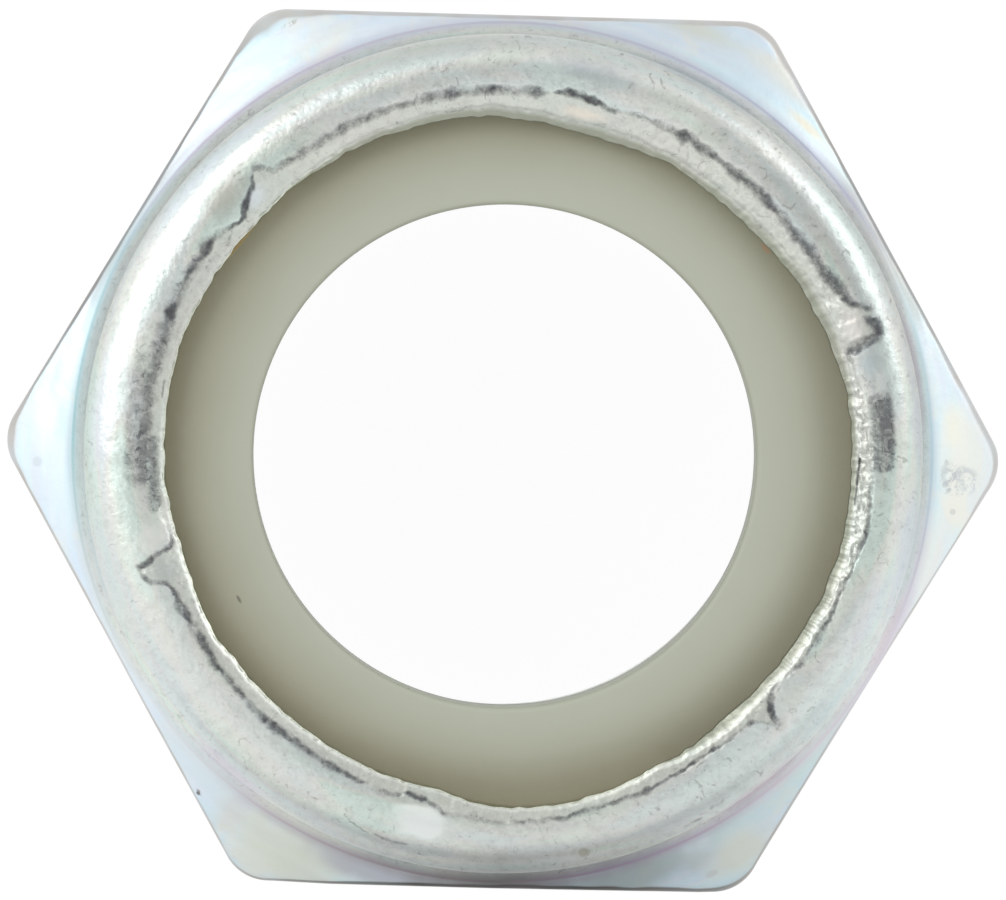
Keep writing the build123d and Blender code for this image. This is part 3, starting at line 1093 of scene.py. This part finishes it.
                # painted shade at the foot of the wall
                level = 0.6 * painted_wall_light
            else:
                height = edge_height - fall * share * wide
                level = painted_wall_light
            height = height + 0.012 * ripple(angle, 0 * angle + share, 420, 0.25, 51)
            self.add(
                angle, radius, height, green * (1, 1, 1, fade),
                soot=marks.soot * 0.9, rolled=1 - 0.75 * share,
                plate=blend(marks.plate, level, fade),
            )
        self.add(angle, edge - wide + 0.02, self.nylon_top - UNDERSIDE)

    def pocket_and_bore(self):
        """Underside of the lip, pocket and threaded bore, back to the bearing face."""
        under = self.nylon_top - UNDERSIDE
        angle = round_angles(MIDDLE)
        self.add(angle, reach_of(angle, LIP) + 0.12, under - 0.10)
        self.add(round_angles(COARSE), 9.9, under - 0.4)
        angle = round_angles(HIDDEN)
        self.add(angle, self.pocket, under - 0.75)
        self.add(angle, self.pocket, self.floor)
        shell = self.shell
        shell.chain(self.rings)
        mouth_top = shell.ring(angle, MOUTH, self.floor)
        shell.join(self.rings[-1], mouth_top)
        mouth_bottom = shell.ring(angle, MOUTH, 0)
        add_thread(shell, self.sizes, mouth_top, mouth_bottom, self.floor)
        rim = shell.ring(angle, MOUTH + 0.08, 0)
        half_way = (MOUTH + self.bearing) / 2
        land = shell.ring(round_angles(COARSE, CROWDING / 2), half_way, 0)
        shell.chain([mouth_bottom, rim, land, self.rings[0]])


def build_body(sizes, material):
    """Draws the body: up its outside, over the collar and down the bore."""
    body = SteelBody(sizes, bpy.context.scene.lock_nut_ring)
    body.lower_hexagon()
    body.upper_hexagon()
    body.foot_and_wall()
    body.rolled_edge()
    body.pocket_and_bore()
    return body.shell.build("nut_body_skin", material)


# ---- Nylon ring ----

# The ring's bore lies this far from the thread's axis, in millimetres.
BORE_SHIFT = (0.035, -0.058)

# Small marks on the nylon. Rows: degrees, radius, half length, half width, colour,
# share.
NYLON_MARKS = [
    (208.8, 8.25, 0.13, 0.045, (0.10, 0.10, 0.07), 0.75),
    (38.0, 9.10, 0.20, 0.07, (0.55, 0.26, 0.12), 0.45),
    (141.0, 9.22, 0.70, 0.06, (0.58, 0.36, 0.10), 0.50),
    (326.2, 9.50, 0.08, 0.05, (0.10, 0.10, 0.08), 0.70),
]

# Rounding of the bore's upper edge, in millimetres, and rings over the top face.
BORE_ROUND = 0.16
FACE_ROWS = 30


def nylon_height(radius, top, droop):
    """Height of the ring's top face, which falls towards the lip."""
    return top - 0.02 - droop * smooth_step(radius, 8.2, 9.5)


def shifted_bore(sizes, angle):
    """Radius about the axis of the ring's bore."""
    off_x, off_y = BORE_SHIFT
    return sizes.bore_radius / MM + off_x * np.cos(angle) + off_y * np.sin(angle)


def build_ring(sizes, material):
    """Draws the nylon ring: up its hidden outside, over the top and down its bore."""
    top = sizes.top / MM
    foot = sizes.floor / MM
    outside = bpy.context.scene.lock_nut_body.pocket_radius / MM - 0.01
    shell = RingShell()
    angle = round_angles(COARSE)
    profile = (
        (outside - 0.2, foot), (outside, foot + 0.2),
        (outside, top - 1.1), (outside - 0.35, top - 0.72),
    )
    rings = [shell.ring(angle, *place) for place in profile]
    angle = round_angles(MIDDLE)
    reach = reach_of(angle, LIP) + 0.04
    for share in (0.0, 0.5, 1.0):
        radius = blend(outside - 0.55, reach + 0.02, share)
        rings.append(shell.ring(angle, radius, top - 0.62 + share * 0.25))
    bore = shifted_bore(sizes, angle)
    inner = bore + BORE_ROUND
    for row in range(FACE_ROWS):
        share = row / (FACE_ROWS - 1)
        radius = blend(reach, inner, share**0.9)
        height = nylon_height(radius, top, sizes.droop / MM)
        height = height + ripples(
            angle, radius, (0.008, 26, 0.9, 61), (0.0015, 120, 0.12, 62)
        )
        rings.append(shell.ring(angle, radius, np.minimum(height, top)))
    for lean in (18, 36, 54, 72, 90):
        turn = math.radians(lean)
        radius = inner - BORE_ROUND * math.sin(turn)
        fall = BORE_ROUND * (1 - math.cos(turn))
        rings.append(shell.ring(angle, radius, height - fall))
    angle = round_angles(COARSE)
    bore = shifted_bore(sizes, angle)
    down = ((0, top - 0.5), (0, (top + foot) / 2), (0, foot + 0.25))
    for wider, level in (*down, (0.07, foot + 0.07), (0.25, foot)):
        rings.append(shell.ring(angle, bore + wider, level))
    shell.chain(rings + rings[:1])
    return shell.build("nylon_insert_skin", material)


# ---- Node helpers ----


class Graph:
    """Short ways to add nodes to a tree. Inputs take a number, a tuple or a socket."""

    def __init__(self, tree):
        self.tree = tree
        tree.nodes.clear()

    def node(self, kind, inputs=(), **settings):
        made = self.tree.nodes.new(kind)
        for name, value in settings.items():
            setattr(made, name, value)
        for name, value in dict(inputs).items():
            self.feed(made.inputs[name], value)
        return made

    def feed(self, socket, value):
        if isinstance(value, bpy.types.NodeSocket):
            self.tree.links.new(value, socket)
        else:
            socket.default_value = value

    def math(self, operation, *values, clamp=False):
        made = self.node("ShaderNodeMath", operation=operation, use_clamp=clamp)
        for socket, value in zip(made.inputs, values):
            self.feed(socket, value)
        return made.outputs[0]

    def plus(self, first, second, clamp=False):
        return self.math("ADD", first, second, clamp=clamp)

    def minus(self, first, second):
        return self.math("SUBTRACT", first, second)

    def times(self, first, second):
        return self.math("MULTIPLY", first, second)

    def larger(self, first, second):
        return self.math("MAXIMUM", first, second)

    def vector(self, operation, *values, scale=None, output=0):
        made = self.node("ShaderNodeVectorMath", operation=operation)
        for socket, value in zip(made.inputs, values):
            self.feed(socket, value)
        if scale is not None:
            self.feed(made.inputs["Scale"], scale)
        return made.outputs[output]

    def dot(self, first, second):
        return self.vector("DOT_PRODUCT", first, second, output=1)

    def mix(self, share, first, second, blend="MIX"):
        made = self.node(
            "ShaderNodeMix", {0: share, 6: first, 7: second},
            data_type="RGBA", blend_type=blend, clamp_factor=True,
        )
        return made.outputs[2]

    def ease(self, value, low, high, start=0.0, end=1.0):
        inputs = {
            "Value": value, "From Min": low, "From Max": high,
            "To Min": start, "To Max": end,
        }
        made = self.node(
            "ShaderNodeMapRange", inputs, interpolation_type="SMOOTHSTEP"
        )
        return made.outputs[0]

    def noise(self, vector, scale, detail, roughness, distortion=0.0):
        inputs = {
            "Vector": vector, "Scale": scale, "Detail": detail,
            "Roughness": roughness, "Distortion": distortion,
        }
        return self.node("ShaderNodeTexNoise", inputs).outputs["Fac"]

    def patches(self, vector, noise, low, high, start=0.0, end=1.0):
        """Patches of noise with soft borders."""
        return self.ease(self.noise(vector, *noise), low, high, start, end)

    def wander(self, vector, noise, reach):
        """Noise about zero, spread over this reach."""
        return self.times(self.minus(self.noise(vector, *noise), 0.5), reach)

    def ramp(self, value, stops):
        made = self.node("ShaderNodeValToRGB", {"Fac": value})
        elements = made.color_ramp.elements
        while len(elements) < len(stops):
            elements.new(0.5)
        for element, (place, colour) in zip(elements, stops):
            element.position = place
            element.color = opaque(colour)
        return made.outputs[0]

    def mark(self, name):
        return self.node("ShaderNodeAttribute", attribute_name=name).outputs["Fac"]

    def millimetres(self):
        place = self.node("ShaderNodeTexCoord").outputs["Object"]
        return self.vector("SCALE", place, scale=1 / MM)

    def choose(self, share, first, second):
        """One surface or light, or another, by a share."""
        inputs = {0: share, 1: first, 2: second}
        return self.node("ShaderNodeMixShader", inputs).outputs[0]

    def finish(self, shader, kind="ShaderNodeOutputMaterial"):
        self.node(kind, {"Surface": shader})

    def coat(self, looks, height, strength, distance):
        """A surface with these looks and a grain this many millimetres deep."""
        grain = {"Height": height, "Strength": strength, "Distance": distance * MM}
        looks = {**looks, "Normal": self.node("ShaderNodeBump", grain).outputs[0]}
        self.finish(self.node("ShaderNodeBsdfPrincipled", looks).outputs[0])


def new_material(name):
    """A material and the graph of its nodes."""
    material = bpy.data.materials.new(name)
    material.use_nodes = True
    return material, Graph(material.node_tree)


def opaque(colour):
    """A colour as the four numbers that a socket takes."""
    return (*colour, 1.0)


def add_marks(graph, base, place, rows, breakup=1.0):
    """Paints small soft ellipses on a colour.

    Rows: degrees, radius, half length, half width, colour, share.
    """
    for degrees, reach, half_long, half_wide, colour, strength in rows:
        turn = math.radians(degrees) + TABLE_TURN
        spot = (reach * math.cos(turn), reach * math.sin(turn), 0)
        away = graph.vector("SUBTRACT", place, spot)
        around = (-math.sin(turn) / half_long, math.cos(turn) / half_long, 0)
        across = (math.cos(turn) / half_wide, math.sin(turn) / half_wide, 0)
        first, second = graph.dot(away, around), graph.dot(away, across)
        squared = graph.plus(graph.times(first, first), graph.times(second, second))
        level = graph.times(graph.ease(squared, 0.3, 1.3, strength, 0.0), breakup)
        base = graph.mix(level, base, opaque(colour))
    return base


# ---- Finishes ----

# Faint pastel tints of the plating, along a ramp
PASTELS = [
    (0.34, (0.91, 1.0, 0.99)),
    (0.43, (1.0, 1.0, 0.965)),
    (0.50, (1.0, 0.955, 0.97)),
    (0.57, (0.945, 0.96, 1.0)),
    (0.66, (0.93, 0.985, 1.0)),
]

# Two greys of the drawn flats of the hexagon
FLAT_GREYS = ((0.54, 0.54, 0.525), (0.67, 0.67, 0.65))

# Bare metal in the grainy patches
BARE_STEEL = (0.17, 0.175, 0.18)

# Heights in millimetres above which scuffs, and the corner's staining with its painted
# shade, are drawn
FACING_UP = (9.2, 9.6)
ABOVE_FLATS = (10.2, 10.9)

# Radius of the line in the corner between the collar and the hexagon, in millimetres
CORNER_RADIUS = 11.80


def zinc_finish(finish):
    """Zinc plating: pale metal with faint pastel tints, dull where it was rolled."""
    material, graph = new_material("zinc_plate")
    place = graph.millimetres()
    lap_shade_mark, grain_mark, rolled, hexagon, smooth, plate, flats, crinkle = (
        graph.mark(name) for name in BODY_MARKS
    )
    collar = graph.minus(1.0, hexagon)
    unpressed = graph.minus(1.0, smooth)

    # place measured round the axis, so that noise can run along the rolling
    flat_place = graph.vector("MULTIPLY", place, (1, 1, 0))
    radius = graph.vector("LENGTH", flat_place, output=1)
    outward = graph.vector("NORMALIZE", flat_place)
    side = graph.node("ShaderNodeSeparateXYZ", {"Vector": outward}).outputs
    height = graph.node("ShaderNodeSeparateXYZ", {"Vector": place}).outputs["Z"]
    depth = graph.minus(radius, height)
    lift = graph.node("ShaderNodeCombineXYZ", {"Z": depth}).outputs[0]
    sweep = graph.vector("ADD", graph.vector("SCALE", outward, scale=2.2), lift)

    # ground colour with its tints
    base = graph.mix(hexagon, opaque(finish.dome_colour), opaque(finish.hexagon_colour))
    base = graph.mix(rolled, base, opaque(finish.edge_colour))
    tint = graph.ramp(graph.noise(sweep, 1.1, 2.5, 0.55, 0.4), PASTELS)
    tint_share = graph.minus(0.9, graph.times(rolled, 0.6))
    base = graph.mix(tint_share, base, tint, "MULTIPLY")

    # Patches of other colours. Rows: noise, where it starts and is full, where on the
    # body, share, colour.
    mottled = graph.times(graph.minus(0.30, graph.times(hexagon, 0.22)), unpressed)
    flecked = graph.times(collar, unpressed)
    layers = (
        ((0.42, 3.0, 0.6, 0.5), 0.54, 0.66, hexagon, 0.60, (0.86, 0.84, 0.76)),
        ((3.2, 3.0, 0.65), 0.42, 0.78, mottled, 1.0, (0.42, 0.43, 0.41)),
        ((7.5, 3.0, 0.72), 0.55, 0.72, collar, 0.30, (0.34, 0.345, 0.33)),
        ((2.7, 4.0, 0.62, 1.6), 0.59, 0.71, flecked, 0.48, (0.27, 0.27, 0.25)),
        ((8.5, 3.0, 0.75, 0.5), 0.48, 0.60, crinkle, 0.55, (0.33, 0.34, 0.31)),
    )
    for noise, low, high, where, share, colour in layers:
        level = graph.times(graph.patches(place, noise, low, high), where)
        base = graph.mix(graph.times(level, share), base, opaque(colour))

    # drawn flats, the soft patches of colour and of painted shade, and the level of the
    # plating with its painted light and shade
    drawn = graph.vector("MULTIPLY", place, (1.0, 1.0, 0.12))
    dark_grey, pale_grey = (opaque(grey) for grey in FLAT_GREYS)
    drawn = graph.patches(drawn, (3.4, 5.0, 0.60), 0.32, 0.70)
    side_colour = graph.mix(drawn, dark_grey, pale_grey)
    side_colour = graph.mix(0.75, side_colour, tint, "MULTIPLY")
    base = graph.mix(flats, base, side_colour)
    paint = graph.node("ShaderNodeAttribute", attribute_name="paint").outputs
    base = graph.mix(paint["Alpha"], base, paint["Color"])
    # painted light and shade: the level darkens or brightens the colour
    grey = {"Red": plate, "Green": plate, "Blue": plate}
    level = graph.node("ShaderNodeCombineColor", grey).outputs[0]
    base = graph.mix(1.0, base, level, "MULTIPLY")

    # scuffs, drawn only on the faces that look up
    facing_up = graph.ease(height, *FACING_UP)
    scribble = graph.patches(place, (3.0, 4.0, 0.66, 1.4), 0.42, 0.62)
    scribble = graph.times(scribble, facing_up)
    base = add_marks(graph, base, flat_place, SCUFFS, scribble)
    base = add_marks(graph, base, flat_place, SPOTS, facing_up)

    # coloured staining and painted shade in the corner between the collar and the
    # hexagon
    turn = graph.math("DIVIDE", graph.math("ARCTAN2", side["Y"], side["X"]), TURN)
    stops = [(0.5 + degrees / 360, colour) for degrees, colour in CORNER_STAIN_AND_SHADE]
    hue = graph.ramp(graph.plus(turn, 0.5), stops)
    off_corner = graph.math("ABSOLUTE", graph.minus(radius, CORNER_RADIUS))
    off_corner = graph.plus(off_corner, graph.wander(sweep, (2.2, 2.0, 0.5), 0.05))
    line = graph.ease(off_corner, 0.01, 0.085, 0.92, 0.0)
    wash = graph.ease(off_corner, 0.0, 0.32, 0.48, 0.0)
    stain_and_shade = graph.times(graph.larger(line, wash), graph.ease(height, *ABOVE_FLATS))
    base = graph.mix(stain_and_shade, base, hue)

    # painted shade in the lap's crease, dark scratches, and grainy bare patches
    soot = graph.plus(lap_shade_mark, graph.wander(place, (5.0, 4.0, 0.75), 1.15))
    soot = graph.times(graph.ease(soot, 0.10, 1.15), graph.ease(lap_shade_mark, 0.02, 0.4))
    wash = graph.plus(graph.wander(place, (2.8, 4.0, 0.70, 0.6), 2.0), grain_mark)
    wash = graph.times(graph.ease(wash, 0.20, 1.10), graph.ease(grain_mark, 0.0, 0.3))
    wash = graph.times(graph.times(wash, grain_mark), 0.92)
    base = graph.mix(wash, base, opaque(BARE_STEEL))
    speck = graph.noise(place, 3.4, 5.0, 0.78, 1.2)
    grain = graph.plus(speck, graph.times(grain_mark, 0.14))
    grain = graph.times(
        graph.ease(grain, 0.54, 0.80), graph.ease(grain_mark, 0.15, 0.8)
    )
    dark = graph.larger(soot, graph.times(grain, 0.85))
    base = graph.mix(graph.times(dark, 0.96), base, opaque(finish.lap_shade_and_grain_colour))

    # gloss, lowest in the fillet at the foot of the collar
    smoothest, dullest = finish.roughness, finish.roughness + 0.12
    roughness = graph.patches(
        sweep, (1.6, 2.0, 0.5), 0.35, 0.75, smoothest, dullest
    )
    roughness = graph.plus(roughness, graph.times(rolled, 0.06))
    foot_zone = graph.times(
        graph.ease(radius, 11.05, 11.35), graph.ease(radius, 11.75, 11.95, 1.0, 0.0)
    )
    roughness = graph.plus(roughness, graph.times(foot_zone, 0.18))
    roughness = graph.plus(roughness, graph.times(dark, 0.3), clamp=True)

    # grain of the plating, calmer on the hexagon and where it was pressed smooth
    broad = graph.noise(place, 2.0, 2.0, 0.5)
    grain = graph.plus(graph.times(graph.noise(place, 8.0, 3.0, 0.6), 0.3), broad)
    grain = graph.minus(grain, graph.times(dark, 0.3))
    calm = graph.larger(smooth, graph.minus(hexagon, graph.times(flats, 0.6)))
    strength = graph.minus(1.0, graph.times(calm, 0.8))
    looks = {"Base Color": base, "Metallic": 1.0, "Roughness": roughness}
    graph.coat(looks, grain, strength, 0.024)
    return material


def nylon_finish(finish):
    """Greenish off-white nylon, browned towards the lip by painted shade, deeper on one
    side.
    """
    material, graph = new_material("nylon")
    place = graph.millimetres()
    flat = graph.vector("MULTIPLY", place, (1, 1, 0))
    radius = graph.vector("LENGTH", flat, output=1)
    radius = graph.plus(radius, graph.wander(place, (0.35, 2.0, 0.5), 0.5))
    # painted shade: the brown under the lip reaches further in towards about 190
    # degrees
    side = graph.dot(graph.vector("NORMALIZE", flat), (-0.98, -0.20, 0))
    radius = graph.plus(radius, graph.times(side, 0.31))
    share = graph.ease(radius, 6.9, 9.9)
    base = graph.mix(share, opaque(finish.nylon_colour), opaque(finish.nylon_lip_shade))
    base = add_marks(graph, base, flat, NYLON_MARKS)
    cloud = graph.patches(place, (1.4, 3.0, 0.6), 0.3, 0.7, 0.0, 0.10)
    base = graph.mix(cloud, base, (0.40, 0.42, 0.32, 1))
    looks = {"Base Color": base, "Roughness": 0.48, "IOR": 1.53}
    graph.coat(looks, graph.noise(place, 5.0, 3.0, 0.6), 0.15, 0.02)
    return material


def seen_or_mirrored(graph):
    """1 for rays from the camera and for those that metal or glass sends on."""
    path = graph.node("ShaderNodeLightPath").outputs
    total = graph.plus(path["Is Camera Ray"], path["Is Glossy Ray"])
    return graph.plus(total, path["Is Transmission Ray"], clamp=True)


def floor_finish():
    """Plain white floor that still takes the nut's soft shadow."""
    material, graph = new_material("white_floor")
    paint = graph.node("ShaderNodeBsdfDiffuse", {"Color": (0.09, 0.09, 0.09, 1)})
    level = graph.times(seen_or_mirrored(graph), 0.94)
    glow = {"Color": (1, 1, 1, 1), "Strength": level}
    glow = graph.node("ShaderNodeEmission", glow)
    both = {0: paint.outputs[0], 1: glow.outputs[0]}
    both = graph.node("ShaderNodeAddShader", both).outputs[0]
    # clear from below, so that the bearing face can be looked at
    clear = graph.node("ShaderNodeBsdfTransparent").outputs[0]
    from_below = graph.node("ShaderNodeNewGeometry").outputs["Backfacing"]
    graph.finish(graph.choose(from_below, both, clear))
    return material


# ---- Stage ----

# Radius of the floor in metres, and how far it lies below the bearing face.
FLOOR_REACH, FLOOR_GAP = 6.0, 0.00001

# How far the lamps stand from the nut, in metres.
LAMP_DISTANCE = 0.6

# Direction of the middle of the ceiling's grey part.
CEILING_SPOT = (0.166, 0.198, 0.966)

# The picture's size in pixels, the pixels that a millimetre takes, and the place of
# the thread's axis in it.
PICTURE = (1006, 900)
PIXELS_IN_MM = 36.42
AXIS_IN_PICTURE = (502.5, 452.0)


def direction(turn, lift):
    """Direction at an angle round the thread's axis, lifted from the floor."""
    flat = math.cos(lift)
    return Vector((math.cos(turn) * flat, math.sin(turn) * flat, math.sin(lift)))


def build_floor():
    """A round floor under the nut, far wider than any view of it."""
    mesh = bpy.data.meshes.new("floor")
    count = 96
    points = [
        (FLOOR_REACH * math.cos(t), FLOOR_REACH * math.sin(t), -FLOOR_GAP)
        for t in (TURN * k / count for k in range(count))
    ]
    mesh.from_pydata(points, [], [list(range(count))])
    mesh.materials.append(floor_finish())
    floor = place_object("floor", mesh)


def build_world(stage):
    """Even light, with the white room and its grey ceiling that the metal mirrors."""
    world = bpy.data.worlds.new("white_room")
    world.use_nodes = True
    bpy.context.scene.world = world
    graph = Graph(world.node_tree)
    toward = graph.node("ShaderNodeTexCoord").outputs["Generated"]
    up = graph.node("ShaderNodeSeparateXYZ", {"Vector": toward}).outputs["Z"]
    near_side = graph.dot(toward, (0, -1, 0))
    shade = graph.times(
        graph.ease(near_side, 0.35, 0.85), graph.ease(up, 0.20, 0.88, 1.0, 0.0)
    )
    shade = graph.times(shade, graph.ease(up, 0.0, 0.25))
    room = graph.mix(shade, (1, 1, 1, 1), (0.58, 0.58, 0.58, 1))
    ceiling = graph.ease(graph.dot(toward, CEILING_SPOT), 0.78, 0.97)
    room = graph.mix(ceiling, room, (0.64, 0.65, 0.64, 1))
    even, mirrored = (
        graph.node("ShaderNodeBackground", {"Color": colour, "Strength": level})
        for colour, level in (((1, 1, 1, 1), stage.light), (room, 1.0))
    )
    light = graph.choose(
        seen_or_mirrored(graph), even.outputs[0], mirrored.outputs[0]
    )
    graph.finish(light, "ShaderNodeOutputWorld")


def build_lamp(name, side, elevation, size, power):
    """A square soft lamp that faces the nut."""
    lamp = bpy.data.lights.new(name, "AREA")
    lamp.shape = "SQUARE"
    lamp.size = size
    lamp.energy = power
    toward = direction(math.radians(side), math.radians(elevation))
    holder = place_object(name, lamp)
    holder.location = toward * LAMP_DISTANCE
    holder.rotation_mode = "QUATERNION"
    holder.rotation_quaternion = toward.to_track_quat("Z", "Y")


def build_camera(stage, body):
    """A long lens almost straight above the collar."""
    camera = bpy.data.cameras.new("camera")
    camera.lens = stage.lens
    camera.sensor_width = 36
    camera.clip_start, camera.clip_end = 0.01, 20
    holder = place_object("camera", camera)
    bpy.context.scene.camera = holder

    scale = PIXELS_IN_MM / MM
    distance = PICTURE[0] / scale * stage.lens / camera.sensor_width
    back = direction(stage.tilt_side + stage.roll, math.pi / 2 - stage.tilt)
    up = Vector((-math.sin(stage.roll), math.cos(stage.roll), 0))
    right = up.cross(back).normalized()
    up = back.cross(right)
    target = Vector((0, 0, body.hex_height))
    target += right * ((PICTURE[0] / 2 - AXIS_IN_PICTURE[0]) / scale)
    target += up * ((AXIS_IN_PICTURE[1] - PICTURE[1] / 2) / scale)
    turn = Matrix((right, up, back)).transposed()
    holder.matrix_world = Matrix.Translation(target + back * distance) @ turn.to_4x4()


# ---- Operators and panel ----


class LOCKNUT_OT_body(bpy.types.Operator):
    """Build the plated steel body with its thread and rolled collar"""

    bl_idname = "locknut.body"
    bl_label = "Build the body"

    def execute(self, context):
        scene = context.scene
        piece = build_body(scene.lock_nut_body, zinc_finish(scene.lock_nut_finish))
        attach(piece, "root")
        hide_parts("nut_body")
        return {"FINISHED"}


class LOCKNUT_OT_ring(bpy.types.Operator):
    """Build the nylon ring that the collar traps"""

    bl_idname = "locknut.ring"
    bl_label = "Build the nylon ring"

    def execute(self, context):
        scene = context.scene
        piece = build_ring(scene.lock_nut_ring, nylon_finish(scene.lock_nut_finish))
        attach(piece, "root")
        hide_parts("nylon_insert")
        return {"FINISHED"}


class LOCKNUT_OT_stage(bpy.types.Operator):
    """Build the white floor, the soft light and the camera"""

    bl_idname = "locknut.stage"
    bl_label = "Build the stage"

    def execute(self, context):
        scene = context.scene
        stage = scene.lock_nut_stage
        build_floor()
        build_world(stage)
        build_lamp("key_lamp", 150, 42, 0.40, stage.key_power)
        build_lamp("side_lamp", 32, 20, 0.34, stage.fill_power)
        build_camera(stage, scene.lock_nut_body)
        scene.view_settings.view_transform = "Standard"
        return {"FINISHED"}


class LOCKNUT_PT_panel(bpy.types.Panel):
    """Lists the steps that build the lock nut, and its sizes"""

    bl_idname = "LOCKNUT_PT_panel"
    bl_label = "Lock nut"
    bl_space_type = "VIEW_3D"
    bl_region_type = "UI"
    bl_category = "Lock nut"

    def draw(self, context):
        layout = self.layout
        for operator in OPERATORS:
            layout.operator(operator.bl_idname)
        for name, group in GROUPS.items():
            box = layout.box()
            box.label(text=group.__doc__)
            for key in group.__annotations__:
                box.prop(getattr(context.scene, name), key)


OPERATORS = (LOCKNUT_OT_body, LOCKNUT_OT_ring, LOCKNUT_OT_stage)


def register():
    for group in GROUPS.values():
        bpy.utils.register_class(group)
    for operator in OPERATORS:
        bpy.utils.register_class(operator)
    bpy.utils.register_class(LOCKNUT_PT_panel)
    for name, group in GROUPS.items():
        setattr(bpy.types.Scene, name, bpy.props.PointerProperty(type=group))


def unregister():
    for name in GROUPS:
        delattr(bpy.types.Scene, name)
    bpy.utils.unregister_class(LOCKNUT_PT_panel)
    for operator in reversed(OPERATORS):
        bpy.utils.unregister_class(operator)
    for group in reversed(GROUPS.values()):
        bpy.utils.unregister_class(group)


def main():
    register()
    bpy.ops.locknut.body()
    bpy.ops.locknut.ring()
    bpy.ops.locknut.stage()
    bpy.context.view_layer.update()


if __name__ == "__main__":
    main()
